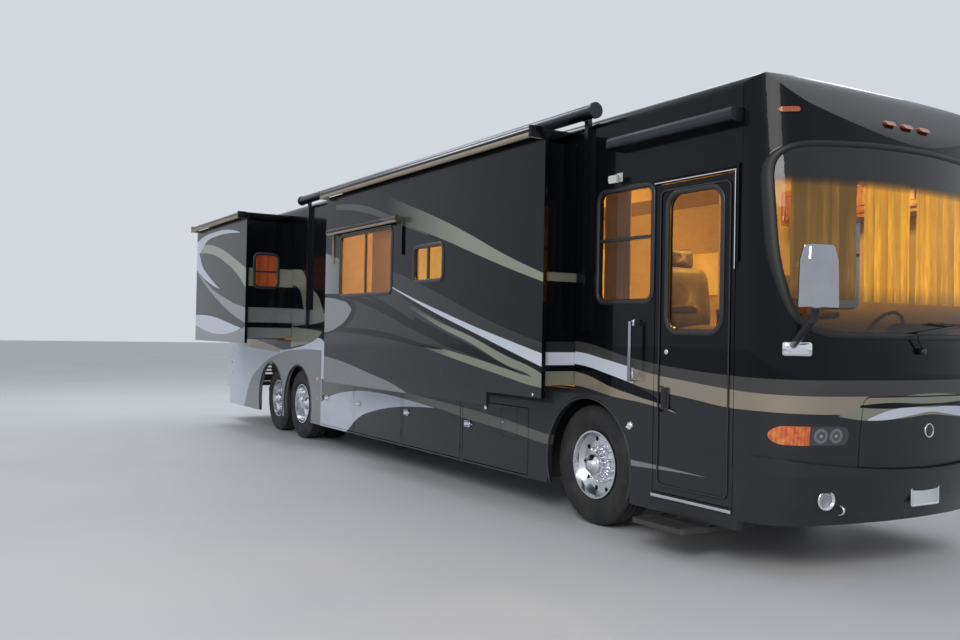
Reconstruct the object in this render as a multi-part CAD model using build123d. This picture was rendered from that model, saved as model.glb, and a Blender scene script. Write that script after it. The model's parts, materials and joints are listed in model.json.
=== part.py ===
"""A tag-axle motorhome, parked with its slide-out rooms open. Millimetres.

X points forward, Y to the left, Z up. The origin lies on the ground below the
middle of the vehicle. Each sub-part is written to parts/ under its own name.
"""

import math
import os

from build123d import *

# Overall size of the body
BODY_LENGTH = 13080
BODY_WIDTH = 2550
ROOF_SIDE_Z = 3455
ROOF_CROWN = 70
ROOF_EDGE_RADIUS = 90
WALL = 50
SKIRT_Z = 280

HALF_W = BODY_WIDTH / 2
NOSE_X = BODY_LENGTH / 2
TAIL_X = -BODY_LENGTH / 2

# How far a cutting block passes the surface that it cuts
CUT = 20

# Running gear, with the front axle behind the nose
FRONT_OVERHANG = 2330
WHEELBASE = 7000
TAG_SPACING = 1200
TYRE_RADIUS = 512
TYRE_WIDTH = 290
TYRE_SHOULDER = 40
RIM_RADIUS = 288
RIM_WALL = 14
RIM_FACE_Y = 1195
TAG_FACE_Y = 1140
DUAL_GAP = 60
ARCH_RADIUS = 568
ARCH_DEPTH = 420
STUD_COUNT = 10
STUD_CIRCLE = 143
STUD_RADIUS = 16
HAND_HOLE_CIRCLE = 222
HAND_HOLE_RADIUS = 21
HUB_RADIUS = 88
HUB_LENGTH = 105
KINGPIN_FIT = 0.1
KINGPIN_RADIUS = 28
KINGPIN_Y = 890
SPINDLE_RADIUS = 45

# Front cap, with depths counted back from the nose
CAP_DEPTH = 620
HOOD_DEPTH = 340
HEADLAMP_DEPTH = 440
CAP_CORNER = 420
CAP_BOW = 3900
CAP_BOTTOM_Z = 722
LEDGE_RISE = 110
WINDSHIELD_BOTTOM_Z = 1645
WINDSHIELD_TOP_Z = 2985
WINDSHIELD_HALF = 1226
WINDSHIELD_FOOT_HALF = 1150
GLASS = 8
HOOD_TOP_Z = 1235
HOOD_HALF = 680
HEADLAMP_IN_Y = 770
HEADLAMP_OUT_Y = 1240
HEADLAMP_BOTTOM_Z = 905
HEADLAMP_TOP_Z = 1034
LENS_THICK = 30
MARKER_THICK = 12
MARKER_YS = (-1120, -200, 0, 200, 1120)
MARKER_Z = 3182
FOG_Y = 920
FOG_Z = 536
FOG_RADIUS = 52
FOG_RECESS = 14
FOG_THICK = 12

# Rear cap
REAR_CAP_DEPTH = 340
REAR_CORNER = 200
REAR_CAP_BOTTOM_Z = 560
TAIL_LAMP_THICK = 12
REAR_BOW = 40
ENGINE_DOOR_HALF = 700
ENGINE_DOOR_BOTTOM_Z = 640
ENGINE_DOOR_TOP_Z = 1420
LOUVRE_PITCH = 62
LOUVRE_HEIGHT = 34

# Drawn curtains behind the windshield
CURTAIN_BACK = 420
CURTAIN_THICK = 30
CURTAIN_BOTTOM_Z = 1900
CURTAIN_TOP_Z = 2830

# Dashboard and steering wheel
DASH_HALF = 1050
DASH_BOTTOM_Z = 1300
STEERING_Y = 600
STEERING_Z = 1645
STEERING_BACK = 850
STEERING_RADIUS = 225
STEERING_TILT = 62

# Floors and basement
FLOOR_TOP_Z = 1150
REAR_FLOOR_TOP_Z = 1450
FLOOR_THICK = 50
REAR_FLOOR_X = -3040
PAN_THICK = 30

# Chassis rails
RAIL_HALF_GAP = 380
RAIL_WIDTH = 80
RAIL_HEIGHT = 250
RAIL_TOP_Z = 1060
RAIL_WALL = 10
TRAY_THICK = 30
RECEIVER_Z = 500
RECEIVER_OUTSIDE = 64
RECEIVER_INSIDE = 51.2
RECEIVER_PIN_RADIUS = 8
RECEIVER_PIN_X = 60

# Engine at the back, generator behind the hood
ENGINE_BACK = 390
ENGINE_LENGTH = 1200
ENGINE_HALF = 340
GENERATOR_BACK = 390
GENERATOR_LENGTH = 650
GENERATOR_HALF = 300

# Entry door, measured from its front (hinge) edge backwards
DOOR_BACK = 665
DOOR_WIDTH = 835
DOOR_BOTTOM_Z = 420
DOOR_TOP_Z = 2790
DOOR_GAP = 8
DOOR_GLASS_MARGIN = 130
DOOR_GLASS_BOTTOM_Z = 1660
DOOR_GLASS_TOP_Z = 2730

# Drip rail over the door and down in front of it
GUTTER_HEIGHT = 22
GUTTER_OUT = 16
GUTTER_GAP = 30
GUTTER_DOWN_Z = 2150

# Power step under the door
STEP_WIDTH = 560
STEP_Z = 205
STEP_THICK = 35
STEP_REACH = 210

# Passenger's and driver's window
CAB_WINDOW_WIDTH = 670
CAB_WINDOW_TO_DOOR = 40
CAB_WINDOW_Z0 = 1900
CAB_WINDOW_Z1 = 2800

# Baggage bays, between the arches
BAY_TO_DRIVE_AXLE = 935
BAY_TO_FRONT_AXLE = 857
BAY_TOP_Z = 930
BAY_BOTTOM_Z = 300
BAY_GAP = 8
BAY_POST = 40
BAY_DOOR_THICK = 40
BAY_HANDLE_Z = 680
FUEL_DOOR = 280
FUEL_DOOR_X = 3000
FUEL_DOOR_Z = 760
GROOVE = 4

# Slide-out rooms
SLIDE_WALL = 40
SLIDE_LIP = 50
SLIDE_GAP = 10
RUNNER_WIDTH = 80
RUNNER_DROP = 30
SEAT = 0.3
TOPPER_RADIUS = 42
TOPPER_OUT = 78
TOPPER_LIFT = 25
FABRIC = 3
NOTCH_LENGTH = 880
NOTCH_HEIGHT = 120
SHADE_RADIUS = 36
SHADE_OUT = 75
SHADE_Z = 2840

# Mirrors in front, ladder behind: both end as far beyond the body
OVERREACH = 150
MIRROR_Y = 1310
MIRROR_Z = 2020
MIRROR_HEIGHT = 400
MIRROR_TURN = 12
LADDER_RADIUS = 14
RUNG_RADIUS = 11

# Awnings
AWNING_RADIUS = 58
AWNING_Z = 3480
AWNING_X0 = -2440
AWNING_ARM = 45
AWNING_ARM_BOTTOM_Z = 1650

FRONT_AXLE_X = NOSE_X - FRONT_OVERHANG
DRIVE_AXLE_X = FRONT_AXLE_X - WHEELBASE
TAG_AXLE_X = DRIVE_AXLE_X - TAG_SPACING
AXLE_Z = TYRE_RADIUS
CAP_SEAM_X = NOSE_X - CAP_DEPTH
REAR_CAP_X = TAIL_X + REAR_CAP_DEPTH
CURTAIN_X = NOSE_X - CURTAIN_BACK
ENGINE_X0 = TAIL_X + ENGINE_BACK
ENGINE_X1 = ENGINE_X0 + ENGINE_LENGTH
GENERATOR_X1 = NOSE_X - GENERATOR_BACK
GENERATOR_X0 = GENERATOR_X1 - GENERATOR_LENGTH
DOOR_FRONT_X = NOSE_X - DOOR_BACK
DOOR_REAR_X = DOOR_FRONT_X - DOOR_WIDTH
CAB_WINDOW_X1 = DOOR_REAR_X - CAB_WINDOW_TO_DOOR
CAB_WINDOW_X0 = CAB_WINDOW_X1 - CAB_WINDOW_WIDTH
CAB_FLOOR_X = DOOR_REAR_X - 140
AWNING_X1 = CAB_WINDOW_X0 + 90
BAY_REAR_X = DRIVE_AXLE_X + BAY_TO_DRIVE_AXLE
BAY_FRONT_X = FRONT_AXLE_X - BAY_TO_FRONT_AXLE
ROOF_Z = ROOF_SIDE_Z + ROOF_CROWN
WALL_TOP_Z = ROOF_SIDE_Z - ROOF_EDGE_RADIUS - 10

# Height, and how far the nose of the cap stands behind its foremost line there
CAP_PROFILE = [
    (600, 55),
    (990, 30),
    (1250, 0),
    (1570, 6),
    (2200, 50),
    (3040, 140),
    (3560, 180),
]
# The brow over the windshield as seen from the side: distance behind the nose, and height
BROW = [(110, 2960), (250, 3190), (400, 3370), (625, 3540)]
BUMPER_PROFILE = [(350, 130), (500, 70), (700, 8), (860, 0)]

# Slide-outs: side, rear and front end, fascia bottom, top, box bottom, fascia's outer face, depth inside
MAIN_X1 = CAB_WINDOW_X0 - 260
LEFT_X1 = CAB_WINDOW_X0 - 930
SLIDES = {
    "main_slide": dict(side=-1, x0=-810, x1=MAIN_X1, z0=955, z1=3310, box_z=1180, out=1655, depth=230),
    "rear_slide": dict(
        side=-1, x0=-5830, x1=REAR_FLOOR_X, z0=1400, z1=3270, box_z=1480, out=2010, depth=130
    ),
    "left_slide": dict(side=1, x0=-2990, x1=LEFT_X1, z0=1095, z1=3290, box_z=1180, out=2010, depth=130),
}
# Windows in the slides' outer walls: slide, front end, rear end, bottom, top
SLIDE_WINDOWS = [
    ("main_slide", -320, 1130, 2050, 2770),
    ("main_slide", 1680, 2310, 2150, 2500),
    ("left_slide", -2500, -1700, 2150, 2600),
    ("left_slide", -900, 550, 2050, 2770),
    ("left_slide", 1700, 2500, 2150, 2600),
]
# Where one bay ends and the next begins, from the rearmost edge forwards
RIGHT_BAYS = (0, 1174, 2565, 3945)
LEFT_BAYS = (0, 1755, 3505)


def bay_edges(steps):
    """The bays' edges along the side, up to the front one."""
    return [BAY_REAR_X + step for step in steps] + [BAY_FRONT_X]


def bays():
    """Every bay door: side, rear edge, front edge."""
    found = []
    for side, steps in ((-1, RIGHT_BAYS), (1, LEFT_BAYS)):
        edges = bay_edges(steps)
        found += [(side, x0, x1) for x0, x1 in zip(edges, edges[1:])]
    return found


def box(x0, x1, y0, y1, z0, z1):
    """A block between two corners, whichever way round they are given."""
    size = (abs(x1 - x0), abs(y1 - y0), abs(z1 - z0))
    middle = ((x0 + x1) / 2, (y0 + y1) / 2, (z0 + z1) / 2)
    return Pos(*middle) * Box(*size)


def side_box(side, x0, x1, y0, y1, z0, z1):
    """A block on one side of the vehicle, with y counted outwards."""
    return box(x0, x1, side * y0, side * y1, z0, z1)


def rod(start, end, radius):
    """A round bar between two points."""
    direction = Vector(*end) - Vector(*start)
    plane = Plane(origin=start, z_dir=direction)
    return extrude(plane * Circle(radius), direction.length)


def prism_x(face, x0, x1):
    """A YZ outline carried along X."""
    plane = Plane(origin=(x0, 0, 0), x_dir=(0, 1, 0), z_dir=(1, 0, 0))
    return extrude(plane * face, x1 - x0)


def prism_y(face, y0, y1):
    """An XZ outline carried along Y."""
    plane = Plane(origin=(0, y0, 0), x_dir=(1, 0, 0), z_dir=(0, -1, 0))
    return extrude(plane * face, -(y1 - y0))


def rounded(x0, x1, z0, z1, radius):
    """A rectangle with round corners, given by its sides."""
    middle = ((x0 + x1) / 2, (z0 + z1) / 2)
    return Pos(*middle) * RectangleRounded(x1 - x0, z1 - z0, radius)


def body_section(inset, z0, flare=0):
    """The body's cross-section, rounded at the roof edges and crowned; a flare widens it below."""
    half = HALF_W - inset
    edge = ROOF_EDGE_RADIUS
    top = ROOF_SIDE_Z - inset
    turn = edge * (1 - math.cos(math.radians(45)))
    wide = half + flare
    right = [(half, top - edge), (wide, top - edge), (wide, z0)]
    left = [(-wide, z0), (-wide, top - edge), (-half, top - edge)]
    if not flare:
        right, left = right[1:], left[:-1]
    shape = [
        ThreePointArc((half, top - edge), (half - turn, top - turn), (half - edge, top)),
        ThreePointArc((half - edge, top), (0, top + ROOF_CROWN), (edge - half, top)),
        ThreePointArc((edge - half, top), (turn - half, top - turn), (-half, top - edge)),
        Polyline(*right, *left),
    ]
    return make_face(shape)


def cap_plan(z, setback, inset):
    """One level of the nose: straight sides, round corners and a bowed front."""
    front = NOSE_X - setback - inset
    half, corner, bow = HALF_W - inset, CAP_CORNER - inset, CAP_BOW - inset
    turn = math.asin((half - corner) / (bow - corner))
    centre_x = front - bow * (1 - math.cos(turn)) - corner * math.cos(turn)
    half_turn = (turn + math.pi / 2) / 2
    edges = []
    meets = {}
    for side in (-1, 1):
        tangent = (centre_x, side * half, z)
        middle_y = half - corner + corner * math.sin(half_turn)
        middle = (centre_x + corner * math.cos(half_turn), side * middle_y, z)
        meets[side] = (front - bow * (1 - math.cos(turn)), side * bow * math.sin(turn), z)
        rear = (CAP_SEAM_X - 200, side * half, z)
        edges += [Line(rear, tangent), ThreePointArc(tangent, middle, meets[side])]
    edges.append(ThreePointArc(meets[-1], (front, 0, z), meets[1]))
    edges.append(Line((CAP_SEAM_X - 200, -half, z), (CAP_SEAM_X - 200, half, z)))
    return make_face(edges)


def cap_solid(profile, inset=0):
    """The nose as a solid, lofted through its levels."""
    return loft([cap_plan(z, setback, inset) for z, setback in profile], ruled=True)


def brow_region(inset):
    """All that lies behind and below the brow."""
    points = [(NOSE_X - back - inset, z - inset) for back, z in BROW]
    curve = Spline(*points, tangents=[(-0.35, 1), (-1, 0.35)])
    low, high = curve @ 0, curve @ 1
    front, rear = NOSE_X + 50, CAP_SEAM_X - CUT
    corners = [(high.X, high.Y), (rear, high.Y), (rear, 0), (front, 0), (front, low.Y), (low.X, low.Y)]
    return prism_y(make_face([curve, Polyline(*corners)]), -HALF_W - 50, HALF_W + 50)


def ledge_region(lift=0):
    """All that lies below the curved top of the bumper."""
    half = HALF_W + 100
    low, high = CAP_BOTTOM_Z + lift, CAP_BOTTOM_Z + LEDGE_RISE + lift
    arc = ThreePointArc((-half, high), (0, low), (half, high))
    sides = Polyline((half, high), (half, 0), (-half, 0), (-half, high))
    return prism_x(make_face([arc, sides]), CAP_SEAM_X - 10, NOSE_X + 50)


def windshield_outline(grow=0):
    """The opening of the windshield as seen from the front."""
    low, high = WINDSHIELD_BOTTOM_Z - grow, WINDSHIELD_TOP_Z + grow
    foot, half = WINDSHIELD_FOOT_HALF + grow, WINDSHIELD_HALF + grow
    waist = 2150
    drop = 50
    outline = make_face([
        Line((-foot, low), (foot, low)),
        Line((foot, low), (half, waist)),
        Line((half, waist), (half, high - drop)),
        ThreePointArc((half, high - drop), (0, high), (-half, high - drop)),
        Line((-half, high - drop), (-half, waist)),
        Line((-half, waist), (-foot, low)),
    ])
    corners = outline.vertices()
    low_corners = corners.sort_by(Axis.Y)[:2]
    high_corners = corners.sort_by(Axis.Y)[-2:]
    outline = fillet(low_corners, 190)
    high_corners = outline.vertices().sort_by(Axis.Y)[-2:]
    return fillet(high_corners, 110)


def cap_hull(inset):
    """The nose above the bumper, whole, with its brow and crowned top."""
    back = CAP_SEAM_X - (5 if inset > 0 else 0)
    whole = cap_solid(CAP_PROFILE, inset) & prism_x(body_section(inset, 0, 100), back, NOSE_X + 50)
    return whole & brow_region(inset)


def front_parts():
    """Front cap, bumper, hood and windshield."""
    outer = cap_hull(0)
    inner = cap_hull(WALL)
    shell = outer - inner - ledge_region()
    opening = prism_x(windshield_outline(), CAP_SEAM_X + 60, NOSE_X + 50)
    hood_face = rounded(-HOOD_HALF, HOOD_HALF, CAP_BOTTOM_Z - 200, HOOD_TOP_Z, 60)
    hood_x, lamp_x = NOSE_X - HOOD_DEPTH, NOSE_X - HEADLAMP_DEPTH
    hood_hole = prism_x(hood_face, hood_x, NOSE_X + 50)
    half = HOOD_HALF - BAY_GAP
    smaller = rounded(-half, half, CAP_BOTTOM_Z - 200, HOOD_TOP_Z - BAY_GAP, 54)
    lamp_hole = prism_x(headlamp_outline(), lamp_x, NOSE_X + 50)
    cap = shell - opening - hood_hole - lamp_hole - mirror(lamp_hole, Plane.XZ)
    hood = (shell & prism_x(smaller, hood_x, NOSE_X + 50)) - ledge_region(BAY_GAP)
    pane_face = windshield_outline(-2 * SEAT)
    pane = (outer - cap_hull(GLASS)) & prism_x(pane_face, CAP_SEAM_X + 60, NOSE_X + 50)
    lens = outer - cap_solid(CAP_PROFILE, LENS_THICK)
    lens &= prism_x(headlamp_outline(SEAT), lamp_x, NOSE_X + 50)
    bumper_outer = cap_solid(BUMPER_PROFILE) & ledge_region()
    bumper_outer &= box(CAP_SEAM_X, NOSE_X + 50, -HALF_W - 50, HALF_W + 50, 0, ROOF_Z)
    ends = {BUMPER_PROFILE[0][0]: -CUT, BUMPER_PROFILE[-1][0]: CUT}
    bumper_inner = cap_solid([(z + ends.get(z, 0), s) for z, s in BUMPER_PROFILE], WALL)
    bumper = bumper_outer - bumper_inner
    fog_band = cap_solid(BUMPER_PROFILE, FOG_RECESS)
    fog_band -= cap_solid(BUMPER_PROFILE, FOG_RECESS + FOG_THICK)
    lenses = [lens, mirror(lens, Plane.XZ)]
    for side in (-1, 1):
        bumper -= fog_bore(side, FOG_RADIUS)
        lenses.append(fog_band & fog_bore(side, FOG_RADIUS - SEAT))
    return cap, hood, pane, lenses, bumper


def headlamp_outline(shrink=0):
    """The headlamp's opening, or a lens that is smaller all round, as seen from the front."""
    low, high = HEADLAMP_BOTTOM_Z + shrink, HEADLAMP_TOP_Z - shrink
    return rounded(HEADLAMP_IN_Y + shrink, HEADLAMP_OUT_Y - shrink, low, high, 60 - shrink)


def fog_bore(side, radius):
    """The round hole of a fog lamp, through the bumper's face."""
    start = (NOSE_X - HEADLAMP_DEPTH, side * FOG_Y, FOG_Z)
    return rod(start, (NOSE_X + 50, side * FOG_Y, FOG_Z), radius)


def arch_cut(side, axle_x, radius=ARCH_RADIUS, depth=ARCH_DEPTH):
    """A wheel arch cut through one side."""
    face = Circle(radius) + Pos(0, -radius) * Rectangle(2 * radius, 2 * radius)
    return prism_y(Pos(axle_x, AXLE_Z) * face, side * (HALF_W + 20), side * (HALF_W - depth))


def slide_opening(spec):
    """The hole in the body wall that a slide-out's box passes through."""
    return side_box(
        spec["side"],
        spec["x0"] + SLIDE_LIP - SLIDE_GAP,
        spec["x1"] - SLIDE_LIP + SLIDE_GAP,
        HALF_W - 2 * WALL,
        HALF_W + 20,
        spec["box_z"] - RUNNER_DROP,
        opening_top(spec),
    )


def opening_top(spec):
    """The height of the upper edge of a slide-out's opening."""
    return spec["z1"] - SLIDE_LIP + SLIDE_GAP


def wall_heads(side):
    """The rails over the slide-outs' openings: one along the whole wall, and one over each lower opening."""
    specs = [spec for spec in SLIDES.values() if spec["side"] == side]
    z = max(opening_top(spec) for spec in specs)
    heads = [side_box(side, REAR_CAP_X, CAP_SEAM_X, HALF_W - WALL, HALF_W, z, WALL_TOP_Z)]
    for spec in specs:
        if opening_top(spec) < z:
            x0, x1 = spec["x0"] + SLIDE_LIP - SLIDE_GAP, spec["x1"] - SLIDE_LIP + SLIDE_GAP
            heads.append(side_box(side, x0, x1, HALF_W - WALL, HALF_W, opening_top(spec), z))
    return heads


def gutter():
    """The drip rail over the entry door and down in front of it."""
    x0, x1 = DOOR_REAR_X - GUTTER_GAP, DOOR_FRONT_X + GUTTER_GAP
    z = DOOR_TOP_Z + GUTTER_GAP
    out = HALF_W + GUTTER_OUT
    over = side_box(-1, x0, x1, HALF_W, out, z, z + GUTTER_HEIGHT)
    down = side_box(-1, x1 - GUTTER_HEIGHT / 2, x1, HALF_W, out, GUTTER_DOWN_Z, z + GUTTER_HEIGHT)
    return over + down


def body_wall(side):
    """One side wall with its skirt, bay, arch, window and slide-out openings."""
    wall = side_box(side, REAR_CAP_X, CAP_SEAM_X, HALF_W - WALL, HALF_W, SKIRT_Z, WALL_TOP_Z)
    for axle_x in (FRONT_AXLE_X, DRIVE_AXLE_X, TAG_AXLE_X):
        wall -= arch_cut(side, axle_x)
    for spec in SLIDES.values():
        if spec["side"] == side:
            wall -= slide_opening(spec)
    for bay_side, x0, x1 in bays():
        if bay_side == side:
            x0, x1 = x0 + BAY_POST / 2, x1 - BAY_POST / 2
            wall -= side_box(side, x0, x1, HALF_W - 2 * WALL, HALF_W + 20, BAY_BOTTOM_Z, BAY_TOP_Z)
    window = rounded(CAB_WINDOW_X0, CAB_WINDOW_X1, CAB_WINDOW_Z0, CAB_WINDOW_Z1, 70)
    wall -= prism_y(window, side * (HALF_W + 20), side * (HALF_W - 2 * WALL))
    if side < 0:
        wall -= box(DOOR_REAR_X, DOOR_FRONT_X, 0, -HALF_W - CUT, DOOR_BOTTOM_Z, DOOR_TOP_Z)
        wall += gutter()
    heads = wall_heads(side)
    for head in heads:
        wall -= head
    return Compound([wall, *heads])


def cab_window_glass(side):
    """The pane of the driver's or passenger's window."""
    x0, x1 = CAB_WINDOW_X0 + SEAT, CAB_WINDOW_X1 - SEAT
    face = rounded(x0, x1, CAB_WINDOW_Z0 + SEAT, CAB_WINDOW_Z1 - SEAT, 69)
    return prism_y(face, side * (HALF_W - 15), side * (HALF_W - 15 - GLASS))


def roof():
    """The crowned roof with its rounded edges."""
    outer = prism_x(body_section(0, WALL_TOP_Z), REAR_CAP_X, CAP_SEAM_X)
    inner = prism_x(body_section(WALL, WALL_TOP_Z - 10), REAR_CAP_X - 5, CAP_SEAM_X + 5)
    return outer - inner


def rear_plan(z, inset, front_x):
    """One level of the rear cap."""
    half, tail = HALF_W - inset, TAIL_X + inset
    radius = REAR_CORNER - inset / 2
    start_x = tail + REAR_BOW + radius
    turn = radius * (1 - math.cos(math.radians(45)))
    edges = []
    for side in (-1, 1):
        first = (start_x, side * half, z)
        middle = (tail + REAR_BOW + turn, side * (half - turn), z)
        last = (tail + REAR_BOW, side * (half - radius), z)
        edges.append(ThreePointArc(first, middle, last))
        edges.append(Line((front_x, side * half, z), first))
    edges.append(ThreePointArc(edges[0] @ 1, (tail, 0, z), edges[2] @ 1))
    edges.append(Line((front_x, -half, z), (front_x, half, z)))
    return make_face(edges)


def rear_hull(inset):
    """The rear cap, whole, or a smaller one that hollows it."""
    front_x = REAR_CAP_X + (5 if inset > 0 else 0)
    bottom = REAR_CAP_BOTTOM_Z - (10 if inset > 0 else 0)
    whole = extrude(rear_plan(bottom, inset, front_x), ROOF_Z, dir=(0, 0, 1))
    return whole & prism_x(body_section(inset, 0), TAIL_X - 50, front_x)


def tail_lamps():
    """Tall lamps on the rear cap's corners."""
    band = rear_hull(-TAIL_LAMP_THICK) - rear_hull(0)
    shapes = []
    for side in (-1, 1):
        face = rounded(side * 1050 - 60, side * 1050 + 60, 1150, 1750, 50)
        shapes.append(band & prism_x(face, TAIL_X - 50, REAR_CAP_X - 150))
    return shapes


def marker_lamps():
    """Five amber lamps along the brow."""
    band = cap_hull(-MARKER_THICK) - cap_hull(0)
    shapes = []
    for y in MARKER_YS:
        face = rounded(y - 55, y + 55, MARKER_Z - 17, MARKER_Z + 18, 16)
        shapes.append(band & prism_x(face, CAP_SEAM_X + 60, NOSE_X + 50))
    return shapes


def rear_parts():
    """Rear cap and the engine door with its louvres."""
    outer, inner = rear_hull(0), rear_hull(WALL)
    shell = outer - inner
    hole = prism_x(
        rounded(-ENGINE_DOOR_HALF, ENGINE_DOOR_HALF, ENGINE_DOOR_BOTTOM_Z, ENGINE_DOOR_TOP_Z, 40),
        TAIL_X - 50,
        REAR_CAP_X - 150,
    )
    cap = shell - hole
    leaf = prism_x(
        rounded(
            BAY_GAP - ENGINE_DOOR_HALF,
            ENGINE_DOOR_HALF - BAY_GAP,
            ENGINE_DOOR_BOTTOM_Z + BAY_GAP,
            ENGINE_DOOR_TOP_Z - BAY_GAP,
            34,
        ),
        TAIL_X - 50,
        REAR_CAP_X - 150,
    )
    door = shell & leaf
    z = ENGINE_DOOR_BOTTOM_Z + 130
    while z < ENGINE_DOOR_TOP_Z - 100:
        slot = box(TAIL_X - 50, REAR_CAP_X, 80 - ENGINE_DOOR_HALF, ENGINE_DOOR_HALF - 80, z, z + LOUVRE_HEIGHT)
        door -= slot
        z += LOUVRE_PITCH
    barrel = BAY_GAP - SEAT
    for y in (-300, 200):
        door += rod((TAIL_X, y, ENGINE_DOOR_TOP_Z - BAY_GAP), (TAIL_X, y + 100, ENGINE_DOOR_TOP_Z - BAY_GAP), barrel)
    return cap, door


def slide_room(name):
    """A slide-out: box open to the room, wider fascia outside, runners below."""
    spec = SLIDES[name]
    side, out = spec["side"], spec["out"]
    fascia = side_box(side, spec["x0"], spec["x1"], out - SLIDE_WALL, out, spec["z0"], spec["z1"])
    for window, wx0, wx1, wz0, wz1 in SLIDE_WINDOWS:
        if window == name:
            fascia -= prism_y(rounded(wx0, wx1, wz0, wz1, 60), side * (out + 20), side * (out - SLIDE_WALL - 20))
    if name == "main_slide":
        notch = (spec["x1"] - NOTCH_LENGTH, spec["x1"] + CUT, out - SLIDE_WALL - CUT, out + CUT)
        fascia -= side_box(side, *notch, spec["z0"] - CUT, spec["z0"] + NOTCH_HEIGHT)
        fascia += window_shade(spec)
    fascia += topper_roller(spec)
    return Compound([fascia, *slide_panels(name), *slide_runners(spec)])


def slide_panels(name):
    """A slide-out's floor, ceiling and two end walls, each a panel of its own behind the fascia."""
    spec = SLIDES[name]
    x0, x1 = spec["x0"] + SLIDE_LIP, spec["x1"] - SLIDE_LIP
    z0, z1 = spec["box_z"], spec["z1"] - SLIDE_LIP
    low, high = z0 + SLIDE_WALL, z1 - SLIDE_WALL
    flat = [(x0, x1, z0, low), (x0, x1, high, z1)]
    upright = [(x0, x0 + SLIDE_WALL, low, high), (x1 - SLIDE_WALL, x1, low, high)]
    panels = []
    for start, end, bottom, top in flat + upright:
        panels.append(
            side_box(spec["side"], start, end, HALF_W - spec["depth"], spec["out"] - SLIDE_WALL, bottom, top)
        )
    if name == "rear_slide":
        panels[-1] -= rear_slide_window(0)
    return panels


def slide_runners(spec):
    """The runners under a slide-out's floor."""
    x0, x1 = spec["x0"] + SLIDE_LIP, spec["x1"] - SLIDE_LIP
    bottom = spec["box_z"] - RUNNER_DROP + SEAT
    count = 3 if x1 - x0 > 4000 else 2
    runners = []
    for i in range(count):
        x = x0 + (x1 - x0) * (i + 0.5) / count
        low, high = x - RUNNER_WIDTH / 2, x + RUNNER_WIDTH / 2
        runners.append(
            side_box(spec["side"], low, high, HALF_W - spec["depth"], spec["out"] - SLIDE_WALL, bottom, spec["box_z"])
        )
    return runners


def window_shade(spec):
    """The small awning rolled up over the big window, on an arm at each end."""
    side, out = spec["side"], spec["out"]
    x0, x1 = SLIDE_WINDOWS[0][1] - 240, SLIDE_WINDOWS[0][2] + 280
    y = side * (out + SHADE_OUT)
    shape = rod((x0, y, SHADE_Z), (x1, y, SHADE_Z), SHADE_RADIUS)
    for x in (x0, x1):
        shape += side_box(side, x - 12, x + 12, out, out + SHADE_OUT, SHADE_Z - 20, SHADE_Z + 20)
        shape += side_box(side, x - 12, x + 12, out, out + 22, SHADE_Z - 390, SHADE_Z + 20)
    return shape


def rear_slide_window(shrink, thick=2 * SLIDE_WALL):
    """The small window in the rear slide-out's front wall."""
    spec = SLIDES["rear_slide"]
    x = spec["x1"] - SLIDE_LIP - SLIDE_WALL / 2
    face = Pos(-1685, 2480) * RectangleRounded(350 - 2 * shrink, 480 - 2 * shrink, 60 - shrink)
    return prism_x(face, x - thick / 2, x + thick / 2)


def slide_glass(name):
    """The panes of a slide-out's windows."""
    spec = SLIDES[name]
    side, out = spec["side"], spec["out"]
    panes = []
    for window, wx0, wx1, wz0, wz1 in SLIDE_WINDOWS:
        if window == name:
            face = rounded(wx0 + SEAT, wx1 - SEAT, wz0 + SEAT, wz1 - SEAT, 59)
            panes.append(prism_y(face, side * (out - 12), side * (out - 12 - GLASS)))
    if name == "rear_slide":
        panes.append(rear_slide_window(SEAT, GLASS))
    return Compound(panes)


def topper_roller(spec):
    """The roller above a slide-out's fascia, on two end brackets."""
    side = spec["side"]
    y = side * (spec["out"] + TOPPER_OUT)
    z = spec["z1"] + TOPPER_LIFT
    x0, x1 = spec["x0"] + 60, spec["x1"] - 60
    roller = rod((x0, y, z), (x1, y, z), TOPPER_RADIUS)
    for x in (x0, x1):
        roller += side_box(side, x - 15, x + 15, spec["out"], spec["out"] + TOPPER_OUT + 45, z - 55, z + 45)
    return roller


def topper_fabric(spec):
    """The fabric from the body wall to the roller, as a plain thin sheet."""
    side = spec["side"]
    low = spec["z1"] + TOPPER_LIFT + TOPPER_RADIUS + SEAT
    y0, y1 = HALF_W + SEAT, spec["out"] + TOPPER_OUT
    return side_box(side, spec["x0"] + 90, spec["x1"] - 90, y0, y1, low, low + FABRIC)


def tyre(y_in, y_out):
    """A plain tyre between two planes, with bevelled shoulders."""
    half = (y_out - y_in) / 2
    corner = TYRE_SHOULDER
    section = make_face(Polyline(
        (RIM_RADIUS, -half + corner),
        (TYRE_RADIUS - corner, -half),
        (TYRE_RADIUS, -half + corner),
        (TYRE_RADIUS, half - corner),
        (TYRE_RADIUS - corner, half),
        (RIM_RADIUS, half - corner),
        close=True,
    ))
    ring = revolve(Plane.XZ * section, Axis.Z)
    return Pos(0, (y_in + y_out) / 2, 0) * (Rot(90, 0, 0) * ring)


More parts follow.
